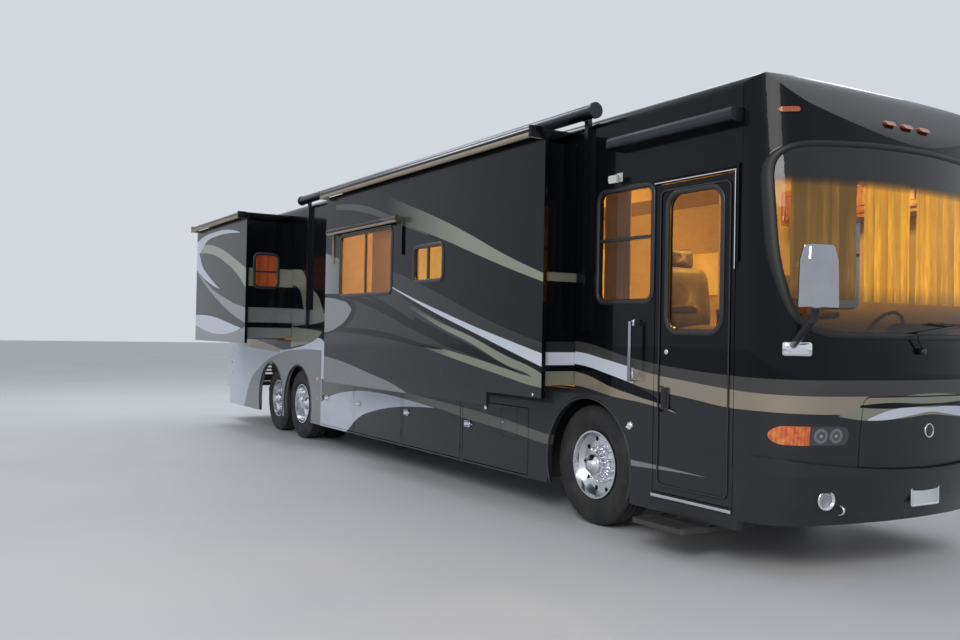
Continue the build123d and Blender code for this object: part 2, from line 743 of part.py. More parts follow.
def wheel_disc(face_y, dish, depth):
    """A rim with its disc, hand holes, studs and hub, face outwards along +Y."""
    barrel = [
        (RIM_RADIUS, face_y),
        (RIM_RADIUS, face_y - depth),
        (RIM_RADIUS - RIM_WALL, face_y - depth),
        (RIM_RADIUS - RIM_WALL, face_y - dish - 14),
        (HUB_RADIUS - 10, face_y - dish - 14),
        (HUB_RADIUS - 10, face_y - dish),
        (RIM_RADIUS - 50, face_y - dish),
        (RIM_RADIUS - RIM_WALL, face_y - dish + 40),
        (RIM_RADIUS - RIM_WALL, face_y),
    ]
    disc = revolve(make_face(Polyline(*barrel, close=True)), Axis.Y)
    for i in range(STUD_COUNT):
        angle = 2 * math.pi * i / STUD_COUNT
        x, z = HAND_HOLE_CIRCLE * math.cos(angle), HAND_HOLE_CIRCLE * math.sin(angle)
        disc -= rod((x, face_y - dish - 30, z), (x, face_y, z), HAND_HOLE_RADIUS)
        angle += math.pi / STUD_COUNT
        x, z = STUD_CIRCLE * math.cos(angle), STUD_CIRCLE * math.sin(angle)
        disc += rod((x, face_y - dish - 7, z), (x, face_y - dish + 45, z), STUD_RADIUS)
    hub = rod((0, face_y - dish - 14, 0), (0, face_y - dish + HUB_LENGTH, 0), HUB_RADIUS)
    return disc + hub


def save(name, shape):
    """Writes one sub-part."""
    export_step(shape, f"parts/{name}.step")


def place(side, x, shape):
    """Puts a wheel piece at an axle's end; the shape is made for the left side."""
    if side < 0:
        shape = mirror(shape, Plane.XZ)
    return Pos(x, 0, AXLE_Z) * shape


def wheels():
    """Tyres and rims: single front and tag wheels, twin drive wheels."""
    found = {}
    for side, word in ((1, "left"), (-1, "right")):
        front_in = RIM_FACE_Y - TYRE_WIDTH + 10
        found[f"front_tyre_{word}"] = place(side, FRONT_AXLE_X, tyre(front_in, front_in + TYRE_WIDTH))
        found[f"front_rim_{word}"] = place(side, FRONT_AXLE_X, wheel_disc(RIM_FACE_Y, 90, 230))
        tag_in = TAG_FACE_Y - TYRE_WIDTH + 10
        found[f"tag_tyre_{word}"] = place(side, TAG_AXLE_X, tyre(tag_in, tag_in + TYRE_WIDTH))
        found[f"tag_rim_{word}"] = place(side, TAG_AXLE_X, wheel_disc(TAG_FACE_Y, 90, 230))
        outer = tyre(front_in, front_in + TYRE_WIDTH)
        twin = front_in - DUAL_GAP - TYRE_WIDTH
        inner = tyre(twin, twin + TYRE_WIDTH)
        found[f"drive_tyres_{word}"] = place(side, DRIVE_AXLE_X, Compound([outer, inner]))
        rims = wheel_disc(RIM_FACE_Y, 170, RIM_FACE_Y - twin - 40)
        found[f"drive_rims_{word}"] = place(side, DRIVE_AXLE_X, rims)
    return found


def knuckle(side):
    """Steering knuckle: kingpin boss with the spindle that carries the wheel."""
    boss = rod((0, KINGPIN_Y, -110), (0, KINGPIN_Y, 110), KINGPIN_RADIUS + 22)
    boss += rod((0, KINGPIN_Y + 40, 0), (0, RIM_FACE_Y - 90 - 14 - SEAT, 0), SPINDLE_RADIUS)
    boss += box(-250, 0, KINGPIN_Y - 15, KINGPIN_Y + 15, -90, -60)
    boss -= rod((0, KINGPIN_Y, -111), (0, KINGPIN_Y, 111), KINGPIN_RADIUS + KINGPIN_FIT)
    return place(side, FRONT_AXLE_X, boss)


def front_axle():
    """The beam axle with a fork and kingpin at each end, springs and hangers."""
    beam = box(-60, 60, -KINGPIN_Y + 130, KINGPIN_Y - 130, -60, 60)
    shape = beam
    for side in (-1, 1):
        shape += side_box(side, -50, 50, KINGPIN_Y - 140, KINGPIN_Y - 60, -140, 140)
        for z in (-140, 115):
            shape += side_box(side, -50, 50, KINGPIN_Y - 70, KINGPIN_Y + 45, z, z + 25)
        shape += rod((0, side * KINGPIN_Y, -130), (0, side * KINGPIN_Y, 130), KINGPIN_RADIUS)
        bag_top = RAIL_TOP_Z - RAIL_HEIGHT - AXLE_Z - SEAT
        shape += rod((0, side * (RAIL_HALF_GAP + 40), 50), (0, side * (RAIL_HALF_GAP + 40), bag_top), 110)
    return Pos(FRONT_AXLE_X, 0, AXLE_Z) * shape


def rear_axles():
    """Drive axle with its differential, and the tag axle, on air springs."""
    shapes = []
    bag_top = RAIL_TOP_Z - RAIL_HEIGHT - AXLE_Z - SEAT
    for x, radius, reach in (
        (DRIVE_AXLE_X, 75, RIM_FACE_Y - 170 - 14 - SEAT),
        (TAG_AXLE_X, 60, TAG_FACE_Y - 90 - 14 - SEAT),
    ):
        shape = rod((0, -reach, 0), (0, reach, 0), radius)
        for side in (-1, 1):
            y = side * (RAIL_HALF_GAP + 40)
            shape += rod((0, y, 40), (0, y, bag_top), 120)
        if x == DRIVE_AXLE_X:
            shape += Sphere(210)
            shape += rod((0, 0, 0), (-330, 0, 20), 70)
        shapes.append(Pos(x, 0, AXLE_Z) * shape)
    return Compound(shapes)


def chassis_frame():
    """Two channel rails with cross-members, and the hitch receiver behind."""
    bar_x = TAIL_X + 160
    z0, z1 = RAIL_TOP_Z - RAIL_HEIGHT, RAIL_TOP_Z
    inside = RAIL_HALF_GAP + RAIL_WIDTH - RAIL_WALL
    shape = None
    for side in (-1, 1):
        rail = side_box(side, bar_x, GENERATOR_X1, RAIL_HALF_GAP, RAIL_HALF_GAP + RAIL_WIDTH, z0, z1)
        hollow = (bar_x - 1, GENERATOR_X1 + 1, RAIL_HALF_GAP - 1, inside)
        rail -= side_box(side, *hollow, z0 + RAIL_WALL, z1 - RAIL_WALL)
        shape = rail if shape is None else shape + rail
    for x in (
        ENGINE_X0 - 150,
        ENGINE_X1 + 350,
        (DRIVE_AXLE_X + TAG_AXLE_X) / 2,
        BAY_REAR_X + 155,
        BAY_REAR_X + 2155,
        BAY_REAR_X + 4155,
        FRONT_AXLE_X - 710,
        CAB_FLOOR_X,
        GENERATOR_X0 - 50,
    ):
        shape += box(x - 40, x + 40, -inside, inside, z0 + 60, z1 - 60)
    shape += box(bar_x, bar_x + 80, -500, 500, RECEIVER_Z - 38, RECEIVER_Z + 38)
    for side in (-1, 1):
        y = side * (RAIL_HALF_GAP + RAIL_WIDTH / 2)
        shape += box(bar_x, bar_x + 180, y - 20, y + 20, RECEIVER_Z - 38, z0 + 60)
    half, bore = RECEIVER_OUTSIDE / 2, RECEIVER_INSIDE / 2
    tube = box(TAIL_X, bar_x + 80, -half, half, RECEIVER_Z - half, RECEIVER_Z + half)
    shape += tube
    shape -= box(TAIL_X - 1, bar_x + 81, -bore, bore, RECEIVER_Z - bore, RECEIVER_Z + bore)
    pin_x = TAIL_X + RECEIVER_PIN_X
    shape -= rod((pin_x, -half - 1, RECEIVER_Z), (pin_x, half + 1, RECEIVER_Z), RECEIVER_PIN_RADIUS)
    return shape


def floors():
    """The house floor, raised over the rear axles and the engine."""
    inside = HALF_W - WALL - SEAT
    well_x0, well_x1 = DOOR_REAR_X - 20, DOOR_FRONT_X + 20
    well_y = -RAIL_HALF_GAP - RAIL_WIDTH - 5
    under, rear_under = FLOOR_TOP_Z - FLOOR_THICK, REAR_FLOOR_TOP_Z - FLOOR_THICK
    low = box(REAR_FLOOR_X, CAB_FLOOR_X, -inside, inside, under, FLOOR_TOP_Z)
    high = box(REAR_CAP_X, REAR_FLOOR_X, -inside, inside, rear_under, REAR_FLOOR_TOP_Z)
    riser = box(REAR_FLOOR_X - FLOOR_THICK, REAR_FLOOR_X, -inside, inside, under, REAR_FLOOR_TOP_Z)
    cab = box(CAB_FLOOR_X, CAP_SEAM_X, well_y, inside, under, FLOOR_TOP_Z)
    toe = box(CAP_SEAM_X, CAP_SEAM_X + 250, well_y, inside, under, FLOOR_TOP_Z)
    shape = low + high + riser + cab + (toe & cap_hull(WALL + SEAT))
    for step, z in enumerate((DOOR_BOTTOM_Z, 660, 900)):
        y1 = -inside + step * 270
        shape += box(well_x0, well_x1, y1, well_y, z - 30, z)
    shape += box(well_x0, well_x0 + 30, -inside, well_y, DOOR_BOTTOM_Z - 30, FLOOR_TOP_Z)
    shape += box(well_x1 - 30, well_x1, -inside, well_y, DOOR_BOTTOM_Z - 30, FLOOR_TOP_Z)
    shape += box(well_x0, well_x1, well_y - 30, well_y, DOOR_BOTTOM_Z - 30, FLOOR_TOP_Z)
    return shape


def basement():
    """The baggage compartments: pan, end walls and partitions, outside the rails."""
    inside = HALF_W - WALL - SEAT
    rail_out = RAIL_HALF_GAP + RAIL_WIDTH + SEAT
    x0, x1 = BAY_REAR_X - 45, BAY_FRONT_X + 47
    under_rail = RAIL_TOP_Z - RAIL_HEIGHT - SEAT
    shape = box(x0, x1, -inside, inside, BAY_BOTTOM_Z - PAN_THICK + 10, BAY_BOTTOM_Z + 10)
    for x in (x0, *bay_edges(RIGHT_BAYS)[1:-1], x1 - PAN_THICK):
        shape += box(x, x + PAN_THICK, -inside, inside, BAY_BOTTOM_Z, under_rail)
        for side in (-1, 1):
            shape += side_box(side, x, x + PAN_THICK, rail_out, inside, BAY_BOTTOM_Z, FLOOR_TOP_Z - FLOOR_THICK)
    return shape


def hinge_barrels(x, y, heights, length, radius=BAY_GAP - SEAT):
    """Upright hinge barrels of a door, at the given heights."""
    barrels = None
    for z in heights:
        barrel = rod((x, y, z), (x, y, z + length), radius)
        barrels = barrel if barrels is None else barrels + barrel
    return barrels


def bay_door(side, x0, x1):
    """A baggage door, hinged along its front edge, with a recessed handle."""
    outer = HALF_W
    x0, x1 = x0 + BAY_POST / 2, x1 - BAY_POST / 2
    low, high = BAY_BOTTOM_Z + BAY_GAP, BAY_TOP_Z - BAY_GAP
    leaf = side_box(side, x0 + BAY_GAP, x1 - BAY_GAP, outer - BAY_DOOR_THICK, outer, low, high)
    leaf -= side_box(side, x0 + 60, x0 + 180, outer - 15, outer + 5, BAY_HANDLE_Z - 30, BAY_HANDLE_Z + 30)
    leaf += side_box(side, x0 + 70, x0 + 170, outer - 16, outer - 4, BAY_HANDLE_Z - 10, BAY_HANDLE_Z + 10)
    if side < 0 and x0 < FUEL_DOOR_X < x1:
        leaf -= fuel_door_groove()
    return leaf + hinge_barrels(x1 - BAY_GAP, side * outer, (BAY_BOTTOM_Z + 90, BAY_TOP_Z - 170), 80)


def fuel_door_groove():
    """The seam round the fuel door, cut into the bay door that carries it."""
    seam = Pos(FUEL_DOOR_X, FUEL_DOOR_Z) * RectangleRounded(FUEL_DOOR, FUEL_DOOR, 50)
    inside = FUEL_DOOR - 2 * GROOVE
    seam -= Pos(FUEL_DOOR_X, FUEL_DOOR_Z) * RectangleRounded(inside, inside, 50 - GROOVE)
    return prism_y(seam, -HALF_W - CUT, -HALF_W + GROOVE)


def entry_door():
    """The entry door's leaf with its window opening, handle and hinge barrels."""
    x0, x1 = DOOR_REAR_X + DOOR_GAP, DOOR_FRONT_X - DOOR_GAP
    leaf = box(x0, x1, -HALF_W, -HALF_W + WALL, DOOR_BOTTOM_Z + DOOR_GAP, DOOR_TOP_Z - DOOR_GAP)
    glass_x0, glass_x1 = x0 + DOOR_GLASS_MARGIN, x1 - DOOR_GLASS_MARGIN
    glass = rounded(glass_x0, glass_x1, DOOR_GLASS_BOTTOM_Z, DOOR_GLASS_TOP_Z - 30, 110)
    leaf -= prism_y(glass, -HALF_W - CUT, -HALF_W + 2 * WALL)
    leaf -= box(x0 + 50, x0 + 110, -HALF_W - 5, -HALF_W + 18, 1040, 1240)
    leaf += box(x0 + 70, x0 + 90, -HALF_W + 2, -HALF_W + 20, 1060, 1220)
    leaf += hinge_barrels(x1, -HALF_W, (600, 1500, 2500), 120)
    low, high = DOOR_GLASS_BOTTOM_Z + SEAT, DOOR_GLASS_TOP_Z - 30 - SEAT
    pane = rounded(glass_x0 + SEAT, glass_x1 - SEAT, low, high, 109)
    return leaf, prism_y(pane, -HALF_W + 18, -HALF_W + 18 + GLASS)


def entry_step():
    """The power step that stands out below the entry door."""
    x0, x1 = DOOR_REAR_X, DOOR_REAR_X + STEP_WIDTH
    top = STEP_Z + STEP_THICK
    tread = box(x0, x1, -HALF_W - STEP_REACH, -HALF_W + 60, STEP_Z, top)
    tread = fillet(tread.faces().sort_by(Axis.Y)[0].edges().filter_by(Axis.Z), 40)
    for x in (x0, x1 - 30):
        tread += box(x, x + 30, -HALF_W, -HALF_W + 500, STEP_Z, top)
        tread += box(x, x + 30, -HALF_W + 300, -HALF_W + 500, top, DOOR_BOTTOM_Z - 30 - SEAT)
    return tread


def roof_units():
    """Two air conditioners, roof vents and an antenna base."""
    units = []
    top = ROOF_Z - 12
    for x in (-3600, 1500):
        unit = Pos(x, 0, top + 150) * Box(1050, 760, 300)
        unit = fillet(unit.edges().filter_by(Axis.Z), 90)
        unit = fillet(unit.faces().sort_by(Axis.Z)[-1].edges(), 60)
        units.append(unit - prism_x(body_section(0, 0), x - 800, x + 800))
    for x, y in ((-1600, 350), (-5000, -300), (3300, 300)):
        vent = Pos(x, y, top + 45) * Box(420, 420, 130)
        vent = fillet(vent.edges().filter_by(Axis.Z), 40)
        units.append(vent - prism_x(body_section(0, 0), x - 400, x + 400))
    return Compound(units)


def cab_interior():
    """Dashboard with its hood over the dials, the steering column and wheel."""
    back = NOSE_X - 640
    shelf = Polyline(
        (back, DASH_BOTTOM_Z),
        (back - 15, DASH_BOTTOM_Z + 190),
        (back + 40, DASH_BOTTOM_Z + 300),
        (back + 350, DASH_BOTTOM_Z + 335),
        (back + 350, DASH_BOTTOM_Z),
        close=True,
    )
    dash = prism_y(make_face(shelf), -DASH_HALF, DASH_HALF)
    dials = Polyline(
        (back + 20, DASH_BOTTOM_Z + 200),
        (back + 60, DASH_BOTTOM_Z + 430),
        (back + 110, DASH_BOTTOM_Z + 450),
        (back + 250, DASH_BOTTOM_Z + 320),
        close=True,
    )
    dash += prism_y(make_face(dials), STEERING_Y - 300, STEERING_Y + 300)
    dash += box(back + 100, back + 250, -350, DASH_HALF, FLOOR_TOP_Z, DASH_BOTTOM_Z)
    hub_x = NOSE_X - STEERING_BACK
    column = rod((back + 60, STEERING_Y, STEERING_Z - 145), (hub_x - 2, STEERING_Y, STEERING_Z + 1), 35)
    seat = Pos(hub_x, STEERING_Y, STEERING_Z) * Rot(0, -STEERING_TILT, 0)
    rim = seat * Torus(STEERING_RADIUS, 14)
    spokes = seat * Box(40, 2 * STEERING_RADIUS - 10, 16)
    spokes += seat * (Pos(-STEERING_RADIUS / 2, 0, 0) * Box(STEERING_RADIUS - 10, 40, 16))
    return dash + column + rim + spokes


def cab_seats():
    """Driver's and passenger's seats on pedestals."""
    seats = []
    for x, y in ((NOSE_X - 1390, STEERING_Y), (NOSE_X - 1840, -STEERING_Y)):
        base = box(x - 150, x + 150, y - 150, y + 150, FLOOR_TOP_Z, FLOOR_TOP_Z + 250)
        cushion = box(x - 250, x + 280, y - 260, y + 260, FLOOR_TOP_Z + 250, FLOOR_TOP_Z + 400)
        back = Pos(x - 270, y, FLOOR_TOP_Z + 800) * (Rot(0, -10, 0) * Box(140, 500, 850))
        seats.append(base + cushion + back)
    return Compound(seats)


def cabinets():
    """Overhead cabinets over the driver and a wall cupboard behind the cab."""
    over = box(CAB_WINDOW_X0 + 70, CAP_SEAM_X - 20, 860, HALF_W - WALL - SEAT, 2690, 3010)
    header = box(NOSE_X - 580, NOSE_X - 260, -1100, 1100, CURTAIN_TOP_Z + SEAT, ROOF_Z)
    return Compound([over, header & cap_hull(WALL + SEAT)])


def curtains():
    """The drawn windshield curtains as plain slabs."""
    drapes = []
    front = CURTAIN_X + CURTAIN_THICK
    for y0, y1 in ((-1040, -330), (-250, 300), (370, 1040)):
        drapes.append(box(CURTAIN_X, front, y0, y1, CURTAIN_BOTTOM_Z, CURTAIN_TOP_Z))
    return Compound(drapes)


def lamps(lenses):
    """Headlamp and fog lamp lenses, brow markers and tail lamps."""
    return Compound([*lenses, *marker_lamps(), *tail_lamps()])


def generator():
    """The generator as one block on its tray, which runs out with the hood."""
    low = RAIL_TOP_Z - RAIL_HEIGHT + RAIL_WALL + SEAT
    inside = RAIL_HALF_GAP + RAIL_WIDTH - RAIL_WALL - 5
    x0, x1, half = GENERATOR_X0, GENERATOR_X1, GENERATOR_HALF
    shape = box(x0, x1, -inside, inside, low, low + TRAY_THICK)
    shape += box(x0 + 60, x1 - 20, -half, half, low + TRAY_THICK, FLOOR_TOP_Z - FLOOR_THICK - 10)
    arm = box(x1, NOSE_X, -200, 200, low, low + TRAY_THICK) & cap_hull(WALL + SEAT)
    return shape + arm


def ladder():
    """The ladder on the rear cap, up to the roof."""
    x = TAIL_X - OVERREACH + LADDER_RADIUS
    rails = None
    for y in (-880, -560):
        rail = rod((x, y, 1700), (x, y, 3400), LADDER_RADIUS)
        for z in (1750, 3330):
            rail += rod((x, y, z), (TAIL_X + 60, y, z), RUNG_RADIUS)
        rails = rail if rails is None else rails + rail
    for i in range(6):
        z = 1850 + i * 280
        rails += rod((x, -880, z), (x, -560, z), RUNG_RADIUS)
    return rails - rear_hull(0)


def mirror_head():
    """A mirror's shell, narrower and rounder at its top, facing forwards."""
    low, high = -MIRROR_HEIGHT / 2, MIRROR_HEIGHT / 2
    head = loft([
        Pos(0, 0, low) * RectangleRounded(132, 268, 52),
        Pos(0, 0, high * 0.5) * RectangleRounded(126, 252, 50),
        Pos(0, 0, high) * RectangleRounded(92, 208, 44),
    ], ruled=True)
    return fillet(head.faces().sort_by(Axis.Z)[-1].edges(), 28)


def fittings():
    """Mirrors on their arms, and the grab handle by the door."""
    shapes = [ladder()]
    for side in (-1, 1):
        head = Rot(0, 0, side * MIRROR_TURN) * mirror_head()
        x = NOSE_X + OVERREACH - head.bounding_box().max.X
        y = side * MIRROR_Y
        foot = (NOSE_X - 300, side * 1150, 1530)
        elbow = (x - 42, y, 1745)
        arm = rod(foot, elbow, 26)
        arm += rod((x - 42, y, 1725), (x - 10, y, MIRROR_Z - MIRROR_HEIGHT / 2 + 15), 26)
        shapes.append(Pos(x, y, MIRROR_Z) * head + (arm - cap_hull(0)))
    x, y = DOOR_REAR_X - 200, -HALF_W - 75
    bar = rod((x, y, 1256), (x, y, 1731), 16)
    for z in (1270, 1717):
        bar += rod((x, -HALF_W, z), (x, y, z), 11)
    shapes.append(bar)
    return Compound(shapes)


def awnings():
    """The patio awning's roller and arms, and the door awning's case."""
    y = HALF_W + 118
    patio = rod((AWNING_X0, -y, AWNING_Z), (AWNING_X1, -y, AWNING_Z), AWNING_RADIUS)
    for x in (AWNING_X0, AWNING_X1 - 30):
        patio += rod((x, -y, AWNING_Z), (x + 30, -y, AWNING_Z), AWNING_RADIUS + 9)
    for x in (AWNING_X0 + 50, AWNING_X1 - 250):
        patio += box(x, x + AWNING_ARM, -HALF_W, -HALF_W - AWNING_ARM, AWNING_ARM_BOTTOM_Z, AWNING_Z)
        patio += box(x, x + AWNING_ARM, -HALF_W - 10, -y, AWNING_Z - 45, AWNING_Z)
    door = box(DOOR_REAR_X - 470, DOOR_FRONT_X + 55, -HALF_W, -HALF_W - 130, 3120, 3220)
    door = fillet(door.edges().filter_by(Axis.X).group_by(Axis.Y)[0], 38)
    return Compound([patio, door])


def engine():
    """The rear engine as one block."""
    block = box(ENGINE_X0, ENGINE_X1, -ENGINE_HALF, ENGINE_HALF, 560, 1380)
    reach = RAIL_HALF_GAP + RAIL_WIDTH - 20
    for x in (ENGINE_X0 + 250, ENGINE_X1 - 250):
        block += box(x, x + 100, -reach, reach, RAIL_TOP_Z + SEAT, RAIL_TOP_Z + 25)
    return block


def build():
    """Builds and writes every sub-part."""
    os.makedirs("parts", exist_ok=True)
    cap, hood, pane, lenses, bumper = front_parts()
    save("front_cap", cap)
    save("hood", hood)
    save("windshield", pane)
    save("bumper", bumper)
    save("lamps", lamps(lenses))
    save("generator", generator())
    rear, engine_door = rear_parts()
    save("rear_cap", rear)
    save("engine_door", engine_door)
    save("roof", roof())
    save("right_wall", body_wall(-1))
    save("left_wall", body_wall(1))
    save("cab_glass", Compound([cab_window_glass(-1), cab_window_glass(1)]))
    for name, spec in SLIDES.items():
        save(name, slide_room(name))
        save(f"{name}_glass", slide_glass(name))
        save(f"{name}_topper", topper_fabric(spec))
    for name, shape in wheels().items():
        save(name, shape)
    save("knuckle_left", knuckle(1))
    save("knuckle_right", knuckle(-1))
    save("front_axle", front_axle())
    save("rear_axles", rear_axles())
    save("chassis_frame", chassis_frame())
    save("floor", floors())
    save("basement", basement())
    for word, side in (("right", -1), ("left", 1)):
        own = [bay for bay in bays() if bay[0] == side]
        for number, bay in enumerate(own, 1):
            save(f"bay_door_{word}_{number}", bay_door(*bay))
    leaf, glass = entry_door()
    save("entry_door", leaf)
    save("entry_door_glass", glass)
    save("entry_step", entry_step())
    save("roof_units", roof_units())
    save("dashboard", cab_interior())
    save("cab_seats", cab_seats())
    save("cabinets", cabinets())
    save("curtains", curtains())
    save("fittings", fittings())
    save("awnings", awnings())
    save("engine", engine())


build()
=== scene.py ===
"""Dresses the motorhome: paint with its stripes, glass, curtains, wheels, lamps, trim and the studio."""

import json
import math

import bmesh
import bpy
from mathutils import Matrix, Vector
from mathutils.bvhtree import BVHTree

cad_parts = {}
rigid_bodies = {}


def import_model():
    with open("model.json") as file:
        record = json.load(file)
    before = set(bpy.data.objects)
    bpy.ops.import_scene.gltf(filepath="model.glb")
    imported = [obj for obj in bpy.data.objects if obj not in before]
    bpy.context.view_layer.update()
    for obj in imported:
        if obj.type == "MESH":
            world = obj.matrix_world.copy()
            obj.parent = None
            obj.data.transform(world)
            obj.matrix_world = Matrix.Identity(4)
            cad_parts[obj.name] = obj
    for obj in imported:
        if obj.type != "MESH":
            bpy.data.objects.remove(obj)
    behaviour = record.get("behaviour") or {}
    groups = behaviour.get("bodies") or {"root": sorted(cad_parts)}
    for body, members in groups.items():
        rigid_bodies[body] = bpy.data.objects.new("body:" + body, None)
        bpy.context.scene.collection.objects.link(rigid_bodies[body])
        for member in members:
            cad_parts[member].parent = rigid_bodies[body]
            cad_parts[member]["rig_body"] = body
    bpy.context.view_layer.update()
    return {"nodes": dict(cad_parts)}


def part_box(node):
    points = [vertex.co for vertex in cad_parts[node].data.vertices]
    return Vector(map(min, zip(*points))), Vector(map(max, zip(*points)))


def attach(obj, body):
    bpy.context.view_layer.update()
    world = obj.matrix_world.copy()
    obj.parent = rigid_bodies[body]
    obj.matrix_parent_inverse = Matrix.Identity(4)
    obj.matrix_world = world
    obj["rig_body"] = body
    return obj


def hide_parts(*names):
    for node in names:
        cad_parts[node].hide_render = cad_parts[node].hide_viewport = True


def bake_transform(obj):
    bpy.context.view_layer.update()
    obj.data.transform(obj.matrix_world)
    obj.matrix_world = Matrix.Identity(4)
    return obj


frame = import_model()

bl_info = {
    "name": "Motorhome Dressing",
    "version": (1, 0, 0),
    "blender": (4, 5, 0),
    "location": "View3D > Sidebar > Motorhome",
    "description": "Finishes a tag-axle motorhome: paint, glass, cloth, wheels, lamps and trim",
    "category": "Object",
}

# Places read from the frame, in metres
SIDE_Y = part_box("left_wall")[1].y
SEAM_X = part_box("left_wall")[1].x
NOSE_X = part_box("hood")[1].x
AXLES = {
    word: (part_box(f"{word}_left")[0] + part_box(f"{word}_left")[1]) / 2
    for word in ("front_rim", "drive_rims", "tag_rim")
}
GLASS_DEPTH = 0.012  # how far the slide-outs' panes lie behind their fascias
MAIN_OUT = -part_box("main_slide_glass")[0].y + GLASS_DEPTH
LEFT_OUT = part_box("left_slide_glass")[1].y + GLASS_DEPTH
BEDROOM_WALL_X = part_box("rear_slide")[1].x - 0.05
HEIGHT_SCALE = 4.0  # heights are drawn on curves from 0 to 1, so they are divided by this

# The photograph's camera
CAMERA_PLACE = (10.585, -6.205, 1.624)
CAMERA_YAW = 31.14
CAMERA_PITCH = 0.74
CAMERA_ROLL = 1.06
CAMERA_LENS = 35.29

# Painted bands: colour, fade along x or None, then stations of x, lower edge, upper edge
MAIN_SLIDE_BANDS = [
    ("charcoal", None, [(-0.81, 0.9, 2.62), (-0.3, 0.9, 2.5), (1.15, 0.9, 2.28), (2.33, 0.9, 1.98),
                        (3.18, 0.9, 1.74), (4.07, 0.9, 1.545)]),
    ("silver", (0.1, -0.8), [(-0.81, 2.06, 2.6), (-0.35, 2.06, 2.5), (0.2, 2.05, 2.42)]),
    ("sage", (1.0, 2.7), [(0.9, 2.92, 3.16), (1.57, 2.74, 2.962), (2.3, 2.55, 2.741),
                          (2.91, 2.375, 2.53), (3.45, 2.222, 2.331), (4.07, 2.06, 2.133)]),
    ("grey", None, [(-0.5, 3.13, 3.19), (0.27, 3.03, 3.11), (0.85, 2.9, 2.973), (1.3, 2.79, 2.83),
                    (2.0, 2.61, 2.62)]),
    ("white", None, [(1.08, 2.12, 2.13), (1.7, 1.94, 1.965), (2.33, 1.77, 1.818),
                     (2.94, 1.62, 1.68), (3.48, 1.485, 1.57), (4.07, 1.342, 1.454)]),
    ("black", None, [(1.4, 1.99, 2.01), (2.33, 1.72, 1.77), (2.94, 1.575, 1.62),
                     (3.48, 1.43, 1.485), (4.07, 1.282, 1.342)]),
    ("sage", (1.5, 2.5), [(1.6, 1.87, 1.9), (2.3, 1.66, 1.71), (2.86, 1.525, 1.589),
                          (3.5, 1.34, 1.42), (3.95, 1.24, 1.322), (4.07, 1.169, 1.282)]),
    ("black", None, [(1.7, 1.68, 1.78), (2.3, 1.5, 1.63), (2.86, 1.41, 1.5), (3.4, 1.32, 1.36),
                     (3.8, 1.261, 1.262)]),
    ("sage", (1.8, 2.5), [(1.8, 1.47, 1.5), (2.3, 1.4, 1.455), (2.87, 1.318, 1.39),
                          (3.5, 1.232, 1.305), (3.8, 1.19, 1.262), (4.07, 1.165, 1.24)]),
    ("black", None, [(-0.7, 1.61, 1.65), (0.38, 1.57, 1.64), (1.06, 1.53, 1.6), (1.85, 1.46, 1.505),
                     (2.34, 1.44, 1.45)]),
    ("black", None, [(-0.81, 2.03, 2.08), (0.07, 1.98, 2.04), (0.6, 1.89, 1.97), (1.09, 1.78, 1.86),
                     (1.85, 1.6, 1.67), (2.3, 1.52, 1.53)]),
    ("black", None, [(0.3, 2.05, 2.08), (0.83, 1.93, 1.97), (1.26, 1.82, 1.86), (1.84, 1.68, 1.69)]),
    ("black", None, [(-0.81, 1.555, 2.06), (-0.3, 1.63, 2.05), (0.04, 1.735, 2.0), (0.2, 1.87, 1.88)]),
    ("silver", None, [(-0.81, 1.58, 2.03), (-0.32, 1.67, 1.99), (-0.07, 1.772, 1.94),
                      (0.04, 1.86, 1.87)]),
    ("silver", None, [(-0.81, 0.9, 1.285), (-0.09, 0.9, 1.216), (0.64, 0.9, 1.119),
                      (1.21, 0.9, 1.037), (1.6, 0.9, 0.95)]),
]
REAR_SLIDE_BANDS = [
    ("silver", None, [(-5.83, 1.3, 1.66), (-5.12, 1.3, 1.557), (-4.52, 1.3, 1.52),
                      (-3.53, 1.3, 1.571), (-3.04, 1.3, 1.64)]),
    ("white", None, [(-5.83, 1.66, 1.83), (-5.04, 1.55, 1.815), (-4.44, 1.52, 1.767),
                     (-3.8, 1.54, 1.688), (-3.24, 1.615, 1.62)]),
    ("silver", None, [(-5.79, 2.56, 2.58), (-5.28, 2.339, 2.39), (-4.76, 2.146, 2.225),
                      (-4.18, 1.962, 2.105), (-3.63, 1.815, 2.0), (-3.04, 1.7, 1.925)]),
    ("sage", None, [(-5.75, 2.91, 2.92), (-5.6, 2.88, 2.985), (-5.24, 2.858, 2.997),
                    (-4.72, 2.791, 2.94), (-4.14, 2.652, 2.82), (-3.6, 2.484, 2.67),
                    (-3.04, 2.22, 2.5)]),
    ("white", None, [(-5.83, 2.86, 3.07), (-5.66, 2.88, 3.11), (-5.24, 3.045, 3.155),
                     (-4.65, 3.096, 3.17), (-3.99, 3.091, 3.148), (-3.38, 3.05, 3.06)]),
    ("white", None, [(-5.83, 2.6, 2.9), (-5.68, 2.55, 2.86), (-5.47, 2.475, 2.654),
                     (-5.14, 2.385, 2.499), (-4.78, 2.3, 2.362), (-4.41, 2.24, 2.243)]),
]
